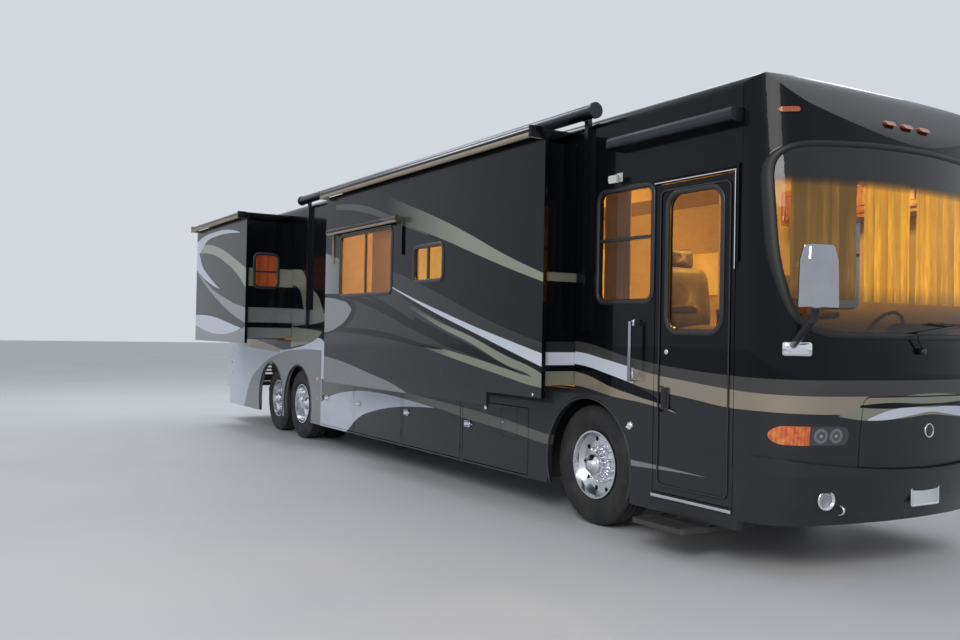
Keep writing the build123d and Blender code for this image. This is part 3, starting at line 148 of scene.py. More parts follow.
BODY_BANDS = [
    ("charcoal", None, [(-6.6, 0.0, 1.37), (-2.0, 0.0, 1.5), (4.12, 0.0, 1.5), (4.75, 0.0, 1.44),
                        (5.19, 0.0, 1.35), (6.1, 0.0, 1.3), (6.6, 0.0, 1.3)]),
    ("grey", None, [(3.4, 1.46, 1.56), (4.12, 1.46, 1.556), (4.75, 1.36, 1.445), (5.19, 1.3, 1.392),
                    (5.84, 1.25, 1.352), (6.2, 1.24, 1.345), (6.6, 1.24, 1.345)]),
    ("white", None, [(3.4, 1.358, 1.465), (4.12, 1.358, 1.465), (4.42, 1.31, 1.422),
                     (4.8, 1.235, 1.36)]),
    ("champagne", None, [(4.8, 1.235, 1.36), (4.93, 1.211, 1.337), (5.42, 1.165, 1.287),
                         (5.85, 1.125, 1.254), (6.01, 1.124, 1.246), (6.6, 1.11, 1.235)]),
    ("black", None, [(3.4, 1.289, 1.358), (4.12, 1.289, 1.358), (4.54, 1.192, 1.285),
                     (4.88, 1.134, 1.21), (5.31, 1.039, 1.05)]),
    ("champagne", None, [(3.4, 1.174, 1.289), (4.12, 1.174, 1.289), (4.54, 1.119, 1.192),
                         (4.88, 1.095, 1.134), (5.12, 1.069, 1.096), (5.31, 1.039, 1.04)]),
    ("silver", None, [(4.4, 0.57, 0.632), (4.76, 0.583, 0.63), (5.21, 0.6, 0.622), (5.62, 0.606, 0.607)]),
    ("sage_grey", (0.4, 1.2), [(0.3, 0.83, 0.93), (1.48, 0.793, 0.872), (2.25, 0.725, 0.832),
                               (2.93, 0.682, 0.785), (3.66, 0.624, 0.715), (3.8, 0.62, 0.71)]),
    ("sage_grey", (0.9, -1.2), [(-2.2, 0.4, 1.1), (-1.2, 0.7, 1.05), (-0.6, 0.8, 1.0), (0.1, 0.84, 0.95),
                                (0.95, 0.82, 0.86)]),
    ("white", None, [(-2.3, 0.15, 0.3), (-2.14, 0.15, 0.45), (-1.71, 0.15, 0.648), (-1.18, 0.15, 0.774),
                     (-0.9, 0.3, 0.81), (-0.52, 0.51, 0.845), (-0.02, 0.635, 0.855),
                     (0.53, 0.719, 0.842), (1.15, 0.768, 0.808), (1.5, 0.783, 0.784)]),
]
# Bands across the nose, by y
NOSE_BANDS = [
    ("sage", None, [(-0.86, 1.1, 1.11), (-0.6, 1.07, 1.19), (-0.3, 1.08, 1.235), (0.0, 1.1, 1.25),
                    (0.3, 1.08, 1.235), (0.6, 1.07, 1.19), (0.86, 1.1, 1.11)]),
    ("black", None, [(-0.7, 1.16, 1.175), (-0.45, 1.15, 1.19), (-0.1, 1.16, 1.18), (0.1, 1.16, 1.18),
                     (0.45, 1.15, 1.19), (0.7, 1.16, 1.175)]),
    ("white", None, [(-0.62, 1.07, 1.08), (-0.42, 1.075, 1.14), (-0.2, 1.1, 1.155), (0.0, 1.12, 1.15),
                     (0.2, 1.1, 1.155), (0.42, 1.075, 1.14), (0.62, 1.07, 1.08)]),
]
TAIL_BANDS = [
    ("white", None, [(-6.6, 0.0, 1.4), (-5.2, 0.0, 1.44), (-4.4, 0.0, 1.4), (-3.6, 0.0, 1.3),
                     (-2.87, 0.0, 1.34), (-2.33, 0.0, 1.42), (-2.0, 0.0, 1.5), (-1.7, 0.0, 1.42)]),
    ("champagne", (-6.2, -5.0), [(-6.4, 1.37, 1.41), (-5.2, 1.3, 1.445), (-4.4, 1.28, 1.4),
                                 (-3.6, 1.25, 1.31)]),
    ("silver", None, [(-5.35, 0.0, 0.3), (-5.0, 0.0, 0.765), (-4.65, 0.0, 0.947), (-4.24, 0.0, 1.1),
                      (-3.6, 0.0, 1.238), (-3.0, 0.0, 1.305), (-1.85, 0.0, 1.33)]),
    ("sage", None, [(-3.1, 1.34, 1.66), (-2.87, 1.37, 1.643), (-2.33, 1.42, 1.62), (-2.0, 1.507, 1.6),
                    (-1.85, 1.58, 1.585)]),
    ("silver", None, [(-3.1, 1.66, 1.93), (-2.6, 1.68, 1.91), (-1.9, 1.72, 1.87), (-1.6, 1.78, 1.8)]),
    ("sage", None, [(-3.1, 2.27, 2.52), (-2.93, 2.265, 2.515), (-2.7, 2.13, 2.49), (-2.59, 1.93, 2.43),
                    (-2.5, 1.91, 2.3), (-2.46, 1.91, 1.93)]),
    ("sage", None, [(-2.21, 1.87, 2.18), (-1.97, 1.87, 2.046), (-1.81, 1.86, 1.87)]),
]


def settings():
    """The user's sizes and colours."""
    return bpy.context.scene.motorhome


class Value:
    """A socket on its way through a material; arithmetic on it adds Math nodes."""

    def __init__(self, shade, socket):
        self.shade = shade
        self.socket = socket

    def __add__(self, other):
        return self.shade.math("ADD", self, other)

    def __sub__(self, other):
        return self.shade.math("SUBTRACT", self, other)

    def __rsub__(self, other):
        return self.shade.math("SUBTRACT", other, self)

    def __mul__(self, other):
        return self.shade.math("MULTIPLY", self, other)

    def __truediv__(self, other):
        return self.shade.math("DIVIDE", self, other)

    def __gt__(self, other):
        return self.shade.math("GREATER_THAN", self, other)

    def __lt__(self, other):
        return self.shade.math("LESS_THAN", self, other)

    __rmul__ = __mul__


class Shade:
    """A material in the making."""

    def __init__(self, name):
        self.material = bpy.data.materials.new(name)
        self.material.use_nodes = True
        self.tree = self.material.node_tree
        self.tree.nodes.clear()

    def node(self, kind, choices=None, inputs=None, output=0):
        """Adds a node: its choices first, then its sockets' values or links."""
        node = self.tree.nodes.new(kind)
        for key, value in (choices or {}).items():
            if key == "points":
                self.set_points(node.mapping, value)
            else:
                setattr(node, key, value)
        for key, value in (inputs or {}).items():
            socket = node.inputs[key]
            if isinstance(value, Value):
                self.tree.links.new(value.socket, socket)
            elif socket.type == "RGBA" and len(value) == 3:
                socket.default_value = (*value, 1.0)
            else:
                socket.default_value = value
        return Value(self, node.outputs[output]) if node.outputs else None

    def set_points(self, mapping, points):
        """Places a curve's points."""
        curve = mapping.curves[0].points
        curve[0].location = points[0]
        curve[1].location = points[-1]
        for point in points[1:-1]:
            curve.new(*point)
        mapping.update()

    def math(self, operation, *terms):
        """One Math node."""
        return self.node("ShaderNodeMath", {"operation": operation}, dict(enumerate(terms)))

    def mix(self, factor, low, high):
        """A colour between two, by a factor."""
        return self.node("ShaderNodeMix", {"data_type": "RGBA"}, {0: factor, 6: low, 7: high}, 2)

    def blend(self, factor, low, high):
        """A number between two, by a factor."""
        return self.node("ShaderNodeMix", {}, {0: factor, 2: low, 3: high})

    def place(self):
        """Where a point lies on its piece, and its three parts."""
        where = self.node("ShaderNodeTexCoord", output="Object")
        parts = [self.node("ShaderNodeSeparateXYZ", {}, {0: where}, axis) for axis in "XYZ"]
        return where, parts

    def noise(self, where, scale, detail=3.0, roughness=0.5):
        """Cloudy variation from 0 to 1."""
        inputs = {"Vector": where, "Scale": scale, "Detail": detail, "Roughness": roughness}
        return self.node("ShaderNodeTexNoise", {}, inputs)

    def span(self, value, low, high, start=0.0, end=1.0):
        """Rescales a value, and stops at both ends."""
        return self.node("ShaderNodeMapRange", {}, {0: value, 1: low, 2: high, 3: start, 4: end})

    def bump(self, height, distance, strength=1.0):
        """A bumped normal."""
        return self.node("ShaderNodeBump", {}, {"Height": height, "Distance": distance, "Strength": strength})

    def stretched(self, where, scale):
        """Coordinates drawn out along an axis."""
        return self.node("ShaderNodeMapping", {}, {"Vector": where, "Scale": scale})

    def surface(self, inputs):
        """Ends the material in a Principled shader with these inputs."""
        shader = self.node("ShaderNodeBsdfPrincipled", {}, inputs)
        self.node("ShaderNodeOutputMaterial", {}, {"Surface": shader})
        return self.material


def palette():
    """Colour and metallic share of each paint."""
    chosen = settings()
    return {
        "black": (chosen.body_black, 0.0),
        "charcoal": (chosen.body_charcoal, 0.35),
        "grey": ([0.075, 0.072, 0.07], 0.35),
        "white": (chosen.stripe_white, 0.0),
        "silver": (chosen.stripe_silver, 0.5),
        "sage": (chosen.stripe_sage, 0.45),
        "sage_grey": ([0.17, 0.17, 0.15], 0.45),
        "champagne": (chosen.stripe_champagne, 0.45),
    }


def drawn_out(bands, reach=0.5):
    """The same bands, each drawn out to a point behind its first station."""
    longer = []
    for colour, fade, stations in bands:
        x, low, high = stations[0]
        middle = (low + high) / 2
        longer.append((colour, fade, [(x - reach, middle, middle + 0.005)] + stations))
    return longer


def paint_bands(shade, z, bands):
    """The black ground with its bands, and its metallic share; a band comes with what it runs along."""
    height = z / HEIGHT_SCALE
    colours = palette()
    colour, metallic = colours["black"]
    for along, (key, fade, stations) in bands:
        start, end = stations[0][0], stations[-1][0]
        part = (along - start) / (end - start)
        edges = []
        for column in (1, 2):
            points = [((s[0] - start) / (end - start), s[column] / HEIGHT_SCALE) for s in stations]
            edges.append(shade.node("ShaderNodeFloatCurve", {"points": points}, {"Value": part}))
        mask = (height > edges[0]) * (height < edges[1]) * (part > 0.0) * (part < 1.0)
        if fade:
            mask = mask * shade.span(along, *fade)
        colour = shade.mix(mask, colour, colours[key][0])
        metallic = shade.blend(mask, metallic, colours[key][1])
    return colour, metallic


# Under this height the insides are the bays, in bare grey
FLOOR_LINE = 1.09
# A face is lining where its look towards the room's middle, times its distance from it, is under this
INWARD = -0.3


def lining_share(shade, place, centre):
    """1 on faces that look at the middle of a room, else 0."""
    normal = shade.node("ShaderNodeTexCoord", output="Normal")
    facing = [shade.node("ShaderNodeSeparateXYZ", {}, {0: normal}, axis) for axis in "XYZ"]
    inward = 0.0
    for part, toward, middle in zip(place, facing, centre):
        if middle is not None:
            inward = shade.math("MAXIMUM", inward, ((part - middle) * toward) < INWARD)
    return inward


def lining_colour(shade, where, z):
    """Pale panelling in the rooms, bare grey in the bays."""
    grain = shade.noise(shade.stretched(where, (3.0, 3.0, 40.0)), 3.0, 5.0)
    panelling = shade.mix(shade.span(grain, 0.3, 0.7), (0.5, 0.43, 0.33), (0.6, 0.53, 0.42))
    return shade.mix(z < FLOOR_LINE, panelling, (0.13, 0.13, 0.135))


def body_paint(name, bands, centre, shift=0.0, scale=1.0, nose=()):
    """Clear-coated paint with its bands; faces that look at the centre get the room's lining."""
    shade = Shade(name)
    where, (x, y, z) = shade.place()
    side = x * scale + shift if shift else x
    placed = [(side, band) for band in bands] + [(y, band) for band in nose]
    colour, metallic = paint_bands(shade, z, placed)
    cloud = shade.noise(where, 0.7, 4.0)
    flake = shade.noise(where, 900.0, 1.0)
    colour = shade.mix(shade.span(flake, 0.35, 0.75, 0.0, 0.35) * metallic, colour, (0.3, 0.3, 0.31))
    dust = shade.span(z + cloud * 0.35, 0.95, 0.3, 0.0, 0.08)
    colour = shade.mix(dust, colour, (0.16, 0.14, 0.115))
    rough = shade.span(cloud, 0.3, 0.7, 0.2, 0.3) + dust * 0.9
    inward = lining_share(shade, (x, y, z), centre)
    peel = shade.noise(where, 60.0, 2.0)
    return shade.surface({
        "Base Color": shade.mix(inward, colour, lining_colour(shade, where, z)),
        "Metallic": metallic * (1.0 - inward), "Roughness": shade.blend(inward, rough, 0.62),
        "Coat Weight": (1.0 - inward) * 0.42, "Coat Roughness": 0.03, "Coat IOR": 1.35,
        "Specular IOR Level": 0.08, "Normal": shade.bump(peel, 0.00025, 0.6),
    })


def scaled(colour, share):
    """A darker or lighter shade of a colour."""
    return tuple(min(1.0, share * c) for c in colour)


# The mirrors' arms lie ahead of an x, between two heights
ARM_X, ARM_LOW, ARM_HIGH = 6.1, 1.6, 1.815


def metal(name, colour, rough, grain=(1.0, 1.0, 1.0), wear=0.1, bump=0.0003, arms=False):
    """Bright metal with a brushed or cloudy finish, black where the mirrors' arms are if asked."""
    shade = Shade(name)
    where, (x, y, z) = shade.place()
    streak = shade.noise(shade.stretched(where, grain), 90.0, 4.0)
    cloud = shade.noise(where, 6.0, 4.0)
    tone = shade.mix(shade.span(cloud, 0.35, 0.7, 0.0, wear), colour, scaled(colour, 0.45))
    finish_rough = shade.span(streak, 0.3, 0.7, rough * 0.7, rough * 1.5)
    bright = 1.0
    if arms:
        arm = (x > ARM_X) * (z > ARM_LOW) * (z < ARM_HIGH)
        tone = shade.mix(arm, tone, (0.015, 0.015, 0.016))
        finish_rough = finish_rough + arm * 0.35
        bright = 1.0 - arm
    return shade.surface({
        "Base Color": tone, "Metallic": bright, "Roughness": finish_rough,
        "Normal": shade.bump(streak, bump, 0.35),
    })


def plain(name, colour, rough, grain=400.0, bump=0.0004, dust=0.0, sheen=0.0, coat=0.0):
    """Plastic, rubber, fabric coat or cast metal: mottled, grained and dusted from below."""
    shade = Shade(name)
    where, (x, y, z) = shade.place()
    cloud = shade.noise(where, 4.0, 5.0)
    fine = shade.noise(where, grain, 3.0)
    tone = shade.mix(shade.span(cloud, 0.3, 0.7), scaled(colour, 0.82), scaled(colour, 1.15))
    if dust:
        low = shade.span(z + cloud * 0.5, 1.1, 0.25, 0.0, dust)
        tone = shade.mix(low, tone, (0.19, 0.165, 0.135))
    return shade.surface({
        "Base Color": tone, "Roughness": shade.span(fine, 0.3, 0.7, rough * 0.85, min(1.0, rough * 1.12)),
        "Normal": shade.bump(fine, bump, 0.5), "Sheen Weight": sheen, "Coat Weight": coat,
    })


def window_glass(name, colour, alpha, dark_from=9.0, painted_shade_under=0.0):
    """A tinted pane with a faint film of dust, dark above one height; under another it turns dark as painted
    shade of the dark space behind it.
    """
    shade = Shade(name)
    where, (x, y, z) = shade.place()
    film = shade.noise(where, 3.0, 5.0)
    tint = shade.span(film, 0.3, 0.8, alpha, alpha + 0.06)
    # Painted shade: below this height the pane turns nearly opaque and dark, standing in for the shade behind
    # it
    tint = shade.blend(shade.span(z, painted_shade_under, painted_shade_under - 0.3, 0.0, 0.75), tint, 0.97)
    return shade.surface({
        "Base Color": colour, "Roughness": shade.span(film, 0.4, 0.8, 0.02, 0.07),
        "Alpha": shade.blend(shade.span(z, dark_from - 0.06, dark_from + 0.02), tint, 0.97),
        "Specular IOR Level": 0.35, "Coat Weight": 0.3, "Coat Roughness": 0.01,
    })


# Ribs of a small lens and of the moulded lamps, to the metre
LENS_RIBS = 70.0
LAMP_RIBS = 55.0
# The headlamp's two bowls: their middles, and rings of outer edge, inner edge and colour; the bowls are real,
# the light and dark colours of their rings are painted reflection of the chrome
BOWL_Y = (0.87, 0.985)
BOWL_Z = 0.97
BOWL_PAINTED_REFLECTION_RINGS = [(0.054, 0.044, (0.2, 0.21, 0.23)), (0.036, 0.026, (0.06, 0.065, 0.07)),
              (0.016, 0.006, (0.45, 0.47, 0.5))]
# Where the other parts of the lamps begin or end
AMBER_Y = 1.06
FOG_TOP_Z = 0.7
BROW_Z = 2.6
REVERSE_LOW, REVERSE_HIGH = 1.38, 1.5


def lens(name, colour, alpha, glow):
    """A moulded lamp lens with fine ribs."""
    shade = Shade(name)
    where, (x, y, z) = shade.place()
    rib = shade.math("SINE", z * (LENS_RIBS * math.tau))
    tone = shade.mix(shade.span(rib, -1.0, 1.0), scaled(colour, 0.7), colour)
    return shade.surface({
        "Base Color": tone, "Roughness": 0.08, "Alpha": alpha, "Coat Weight": 1.0,
        "Emission Color": tone, "Emission Strength": glow, "Normal": shade.bump(rib, 0.0008, 0.5),
    })


def lamp_lenses(name):
    """The moulded lenses: clear with an amber outer end in front, amber on the brow, red behind."""
    shade = Shade(name)
    where, (x, y, z) = shade.place()
    rib = shade.math("SINE", y * (LAMP_RIBS * math.tau))
    brow = z > BROW_Z
    tail = x < 0.0
    reach = shade.math("ABSOLUTE", y)
    outer = (reach > AMBER_Y) * (z > FOG_TOP_Z)
    amber = shade.math("MAXIMUM", brow, outer) * (1.0 - tail)
    tone = (0.03, 0.033, 0.037)
    # The chrome bowls behind the lens are drawn on it as rings, with painted reflection for their light and
    # dark tones
    for middle in BOWL_Y:
        gap = shade.math("POWER", reach - middle, 2.0) + shade.math("POWER", z - BOWL_Z, 2.0)
        far = shade.math("SQRT", gap)
        for edge, full, ring in BOWL_PAINTED_REFLECTION_RINGS:
            tone = shade.mix(shade.span(far, edge, full), tone, ring)
    tone = shade.mix((z < FOG_TOP_Z), tone, (0.12, 0.125, 0.13))
    speckle = shade.span(shade.noise(where, 22.0, 3.0), 0.35, 0.65)
    tone = shade.mix(amber, tone, shade.mix(speckle, (0.8, 0.07, 0.003), (1.0, 0.3, 0.03)))
    tone = shade.mix(brow, tone, (0.4, 0.07, 0.008))
    reverse = (z > REVERSE_LOW) * (z < REVERSE_HIGH) * tail
    tone = shade.mix(tail * (1.0 - reverse), tone, (0.5, 0.008, 0.006))
    tone = shade.mix(shade.span(rib, -1.0, 1.0, 0.0, 0.3), tone, (0.02, 0.02, 0.02))
    return shade.surface({
        "Base Color": tone, "Roughness": 0.07, "Coat Weight": 1.0,
        "Emission Color": shade.mix(brow, (0.0, 0.0, 0.0), (1.0, 0.2, 0.02)), "Emission Strength": 0.06,
        "Normal": shade.bump(rib, 0.0006, 0.4),
    })


# The pitch of woven threads, in radians to the metre
WEAVE = 1400.0


def cloth(name, colour, lit, glow):
    """Woven cloth with a painted glow, as of the lamps inside shining through it, dimmed by painted shade in
    its folds and towards its top.
    """
    shade = Shade(name)
    where, (x, y, z) = shade.place()
    warp = shade.math("SINE", z * WEAVE)
    weft = shade.math("SINE", (y + x) * WEAVE)
    thread = shade.span(warp * weft, -1.0, 1.0)
    slub = shade.noise(shade.stretched(where, (30.0, 30.0, 2.0)), 4.0, 5.0)
    tone = shade.mix(thread, scaled(colour, 0.75), colour)
    # Painted light: the emission stands in for lamps inside shining through the cloth, patchy where the yarn
    # is thicker
    light = shade.mix(shade.span(slub, 0.3, 0.72), scaled(lit, 0.45), lit)
    # Painted shade: the glow is dimmed in streaks like folds, and towards the top
    fold = shade.noise(shade.stretched(where, (1.0, 11.0, 0.35)), 1.6, 2.0)
    light = shade.mix(shade.span(fold, 0.58, 0.4, 0.0, 0.8), light, scaled(lit, 0.22))
    light = shade.mix(shade.span(z, 1.9, 2.75, 0.0, 0.35), light, scaled(lit, 0.5))
    return shade.surface({
        "Base Color": tone, "Roughness": 0.85, "Sheen Weight": 0.3, "Normal": shade.bump(thread, 0.0003, 0.5),
        "Emission Color": light, "Emission Strength": glow,
    })


def wood(name, dark, light, glow=0.0):
    """Varnished wood with upright grain, and a faint glow of painted light when glow is given."""
    shade = Shade(name)
    where = shade.place()[0]
    rings = shade.noise(shade.stretched(where, (9.0, 9.0, 0.6)), 3.5, 8.0, 0.62)
    pores = shade.noise(shade.stretched(where, (220.0, 220.0, 8.0)), 2.0, 2.0)
    tone = shade.mix(shade.span(rings, 0.35, 0.65), dark, light)
    tone = shade.mix(shade.span(pores, 0.55, 0.8, 0.0, 0.5), tone, scaled(dark, 0.4))
    # Painted light: emission of the wood's own colour, as if lit from inside
    return shade.surface({
        "Base Color": tone, "Roughness": 0.34, "Coat Weight": 0.5, "Coat Roughness": 0.12,
        "Normal": shade.bump(pores, 0.0004, 0.4), "Emission Color": tone, "Emission Strength": glow,
    })


def tyre_rubber(name):
    """Black rubber, dusty on the tread and in its grooves."""
    shade = Shade(name)
    where = shade.place()[0]
    cloud = shade.noise(where, 5.0, 6.0)
    fine = shade.noise(where, 260.0, 4.0)
    tone = shade.mix(shade.span(cloud, 0.35, 0.75), (0.014, 0.014, 0.015), (0.04, 0.038, 0.036))
    tone = shade.mix(shade.span(fine + cloud, 1.0, 1.4, 0.0, 0.3), tone, (0.13, 0.115, 0.1))
    return shade.surface({
        "Base Color": tone, "Roughness": shade.span(fine, 0.3, 0.7, 0.62, 0.85),
        "Normal": shade.bump(fine, 0.0006, 0.5),
    })


_finishes = {}
# The big slide-out's bands, carried over to the left room's length: its x is scaled, then shifted
LEFT_SHIFT, LEFT_SCALE = 1.4735, 0.7637


def finish_makers():
    """How each finish is made, given its name."""
    left = BODY_BANDS + TAIL_BANDS[:3] + drawn_out(REAR_SLIDE_BANDS)
    glow = settings().glow
    return {
        "body_right": lambda n: body_paint(n, BODY_BANDS + TAIL_BANDS, (None, 0.0, None)),
        "body_left": lambda n: body_paint(n, left, (None, 0.0, None)),
        "cap": lambda n: body_paint(n, BODY_BANDS, (5.0, 0.0, None), nose=NOSE_BANDS),
        "tail": lambda n: body_paint(n, BODY_BANDS[:1] + TAIL_BANDS[:2], (-5.5, 0.0, None)),
        "door_paint": lambda n: body_paint(n, BODY_BANDS, (None, 0.0, None)),
        "bay_paint": lambda n: body_paint(n, BODY_BANDS, (None, 0.0, None)),
        "roof_paint": lambda n: body_paint(n, [], (None, None, 2.5)),
        "main_paint": lambda n: body_paint(n, MAIN_SLIDE_BANDS, (1.6, 0.0, 2.2)),
        "rear_paint": lambda n: body_paint(n, REAR_SLIDE_BANDS, (-4.45, 0.0, 2.3)),
        "left_paint": lambda n: body_paint(n, MAIN_SLIDE_BANDS, (0.2, 0.0, 2.2), LEFT_SHIFT, LEFT_SCALE),
        "chrome": lambda n: metal(n, (0.86, 0.87, 0.9), 0.06, wear=0.15),
        "alloy": lambda n: metal(n, (0.78, 0.79, 0.82), 0.17, grain=(6.0, 0.3, 6.0), wear=0.25),
        "bright_fittings": lambda n: metal(n, (0.42, 0.43, 0.46), 0.07, wear=0.15, arms=True),
        "mirror": lambda n: metal(n, (0.92, 0.93, 0.95), 0.02, wear=0.02, bump=0.00005),
        "awning": lambda n: metal(n, (0.06, 0.065, 0.075), 0.3, grain=(0.3, 8.0, 8.0), wear=0.2),
        "steel": lambda n: plain(n, (0.03, 0.03, 0.032), 0.6, grain=120.0, bump=0.0008, dust=0.25),
        "cast": lambda n: plain(n, (0.12, 0.115, 0.11), 0.75, grain=90.0, bump=0.0012, dust=0.5),
        "trim": lambda n: plain(n, (0.018, 0.018, 0.02), 0.4, grain=500.0, bump=0.0003, dust=0.15, coat=0.2),
        "rubber": lambda n: plain(n, (0.006, 0.006, 0.006), 0.45, grain=300.0, bump=0.0003, dust=0.1),
        "plastic": lambda n: plain(n, (0.05, 0.048, 0.045), 0.65, grain=500.0, bump=0.0006),
        "mat": lambda n: plain(n, (0.2, 0.17, 0.14), 0.8, grain=350.0, bump=0.001),
        "white_plastic": lambda n: plain(n, (0.72, 0.72, 0.69), 0.5, grain=200.0, bump=0.0004),
        "plate": lambda n: plain(n, (0.72, 0.74, 0.78), 0.45, grain=60.0, bump=0.0003),
        "vinyl": lambda n: plain(n, (0.055, 0.058, 0.065), 0.55, grain=700.0, bump=0.0005, sheen=0.2),
        "leather": lambda n: plain(n, (0.13, 0.1, 0.08), 0.5, grain=260.0, bump=0.001, sheen=0.15),
        "tyre": tyre_rubber,
        "tint": lambda n: window_glass(n, (0.012, 0.013, 0.015), settings().tint),
        # The windshield: dark band at its top, painted shade at its foot
        "clear": lambda n: window_glass(n, (0.01, 0.011, 0.012), 0.33, dark_from=2.72, painted_shade_under=1.99),
        "lamp_lenses": lamp_lenses,
        "lamp_amber": lambda n: lens(n, (1.0, 0.2, 0.01), alpha=0.92, glow=0.25),
        "lamp_red": lambda n: lens(n, (0.55, 0.01, 0.008), alpha=0.95, glow=0.05),
        "lamp_white": lambda n: lens(n, (0.85, 0.88, 0.9), alpha=0.9, glow=0.3),
        # The cloths glow with painted light, as of the lamps inside shining through them
        "gold_cloth": lambda n: cloth(n, (0.3, 0.2, 0.07), (0.6, 0.32, 0.06), glow * 0.8),
        "lit_cloth": lambda n: cloth(n, (0.7, 0.42, 0.08), (1.0, 0.5, 0.04), glow * 1.5),
        "blind_cloth": lambda n: cloth(n, (0.8, 0.55, 0.16), (1.0, 0.52, 0.05), glow),
        "brown_cloth": lambda n: cloth(n, (0.3, 0.15, 0.06), (0.5, 0.2, 0.05), glow * 0.3),
        "red_cloth": lambda n: cloth(n, (0.3, 0.08, 0.04), (0.7, 0.14, 0.04), glow * 0.6),
        # The cabinets' faint glow is painted light
        "cherry": lambda n: wood(n, (0.14, 0.045, 0.015), (0.35, 0.13, 0.045), glow=0.25),
    }


def finish(name):
    """The named material, made once."""
    if name not in _finishes:
        _finishes[name] = finish_makers()[name](name)
    return _finishes[name]


def side_point(side, out):
    """A function that puts (x, z, depth) on a side of the vehicle, with depth counted outwards."""
    return lambda u, v, w: Vector((u, side * (out + w), v))


def outline(x0, x1, z0, z1, radius, steps=6):
    """A rectangle with round corners, as points."""
    points = []
    for cx, cz, turn in ((x1 - radius, z1 - radius, 0), (x0 + radius, z1 - radius, 90),
                         (x0 + radius, z0 + radius, 180), (x1 - radius, z0 + radius, 270)):
        for i in range(steps + 1):
            angle = math.radians(turn + 90 * i / steps)
            points.append((cx + radius * math.cos(angle), cz + radius * math.sin(angle)))
    return points


class Form:
    """Gathers skins, blocks, tubes and turned shapes into one mesh."""

    def __init__(self):
        self.mesh = bmesh.new()
        self.finishes = []

    def slot(self, name):
        """The number of a finish in this mesh."""
        if name not in self.finishes:
            self.finishes.append(name)
        return self.finishes.index(name)

    def skin(self, rings, name, loop=False, open_ring=False):
        """Joins rings of points with faces, and caps the ends unless they meet or the rings are open."""
        number = self.slot(name)
        rows = [[self.mesh.verts.new(point) for point in ring] for ring in rings]
        count = len(rows[0])
        for low, high in zip(rows, rows[1:] + rows[:1] if loop else rows[1:]):
            for i in range(count - 1 if open_ring else count):
                j = (i + 1) % count
                face = self.mesh.faces.new((low[i], low[j], high[j], high[i]))
                face.material_index = number
                face.smooth = True
        if not loop and not open_ring:
            for row in (rows[0], rows[-1]):
                face = self.mesh.faces.new(row)
                face.material_index = number

    def block(self, low, high, name, bevel=0.004):
        """A block with softened edges."""
        low, high = Vector(low), Vector(high)
        size = high - low
        place = Matrix.Translation((low + high) / 2) @ Matrix.Diagonal((*size, 1.0))
        made = bmesh.ops.create_cube(self.mesh, size=1.0, matrix=place)
        self.soften(made["verts"], name, min(bevel, 0.45 * min(abs(s) for s in size)))

    def soften(self, verts, name, bevel):
        """Bevels a new block and gives it its finish."""
        number = self.slot(name)
        for face in {f for v in verts for f in v.link_faces}:
            face.material_index = number
        edges = list({e for v in verts for e in v.link_edges})
        bmesh.ops.bevel(
            self.mesh, geom=edges, offset=bevel, segments=2, profile=0.5, affect="EDGES", material=number)

    least_radius = 0.0002  # so that a turned shape's end isn't many vertices in one spot

    def turned(self, profile, centre, axis, name, steps=32):
        """A turned shape: radius and distance along the axis, from a centre."""
        turn = Vector((0, 0, 1)).rotation_difference(Vector(axis)).to_matrix()
        rings = []
        for radius, along in profile:
            radius = max(radius, self.least_radius)
            ring = []
            for i in range(steps):
                angle = math.tau * i / steps
                point = Vector((radius * math.cos(angle), radius * math.sin(angle), along))
                ring.append(Vector(centre) + turn @ point)
            rings.append(ring)
        self.skin(rings, name)

    def tube(self, path, radius, name, steps=12):
        """A round bar along a path of points."""
        angles = [math.tau * i / steps for i in range(steps)]
        self.sweep(path, [(radius * math.cos(a), radius * math.sin(a)) for a in angles], name)

    def sweep(self, path, section, name, up=(0.0, 0.0, 1.0)):
        """A section carried along a path."""
        path = [Vector(p) for p in path]
        rings = []
        side = None
        for i, point in enumerate(path):
            forward = (path[min(i + 1, len(path) - 1)] - path[max(i - 1, 0)]).normalized()
            if side is None:
                side = forward.cross(Vector(up))
                if side.length < 0.05:
                    side = forward.cross(Vector((1.0, 0.0, 0.0)))
            side = (side - forward * side.dot(forward)).normalized()
            top = side.cross(forward)
            rings.append([point + side * a + top * b for a, b in section])
        self.skin(rings, name)

    def rim(self, points, section, put, name):
        """A frame that follows a closed outline; section gives distance outwards and height."""
        count = len(points)
        rings = []
        for i in range(count):
            a, b = Vector(points[i - 1]), Vector(points[(i + 1) % count])
            along = (b - a).normalized()
            out = Vector((along.y, -along.x))
            rings.append([put(points[i][0] + out.x * s, points[i][1] + out.y * s, w) for s, w in section])
        self.skin(rings, name, loop=True)

    def done(self, name, body, weld=True):
        """Ends the mesh as a piece that rides on a body."""
        if weld:
            bmesh.ops.remove_doubles(self.mesh, verts=self.mesh.verts, dist=0.00002)
        bmesh.ops.recalc_face_normals(self.mesh, faces=self.mesh.faces)
        data = bpy.data.meshes.new(name)
        self.mesh.to_mesh(data)
        self.mesh.free()
        for kind in self.finishes:
            data.materials.append(finish(kind))
        piece = bpy.data.objects.new(name, data)
        bpy.context.scene.collection.objects.link(piece)
        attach(piece, body)
        return piece


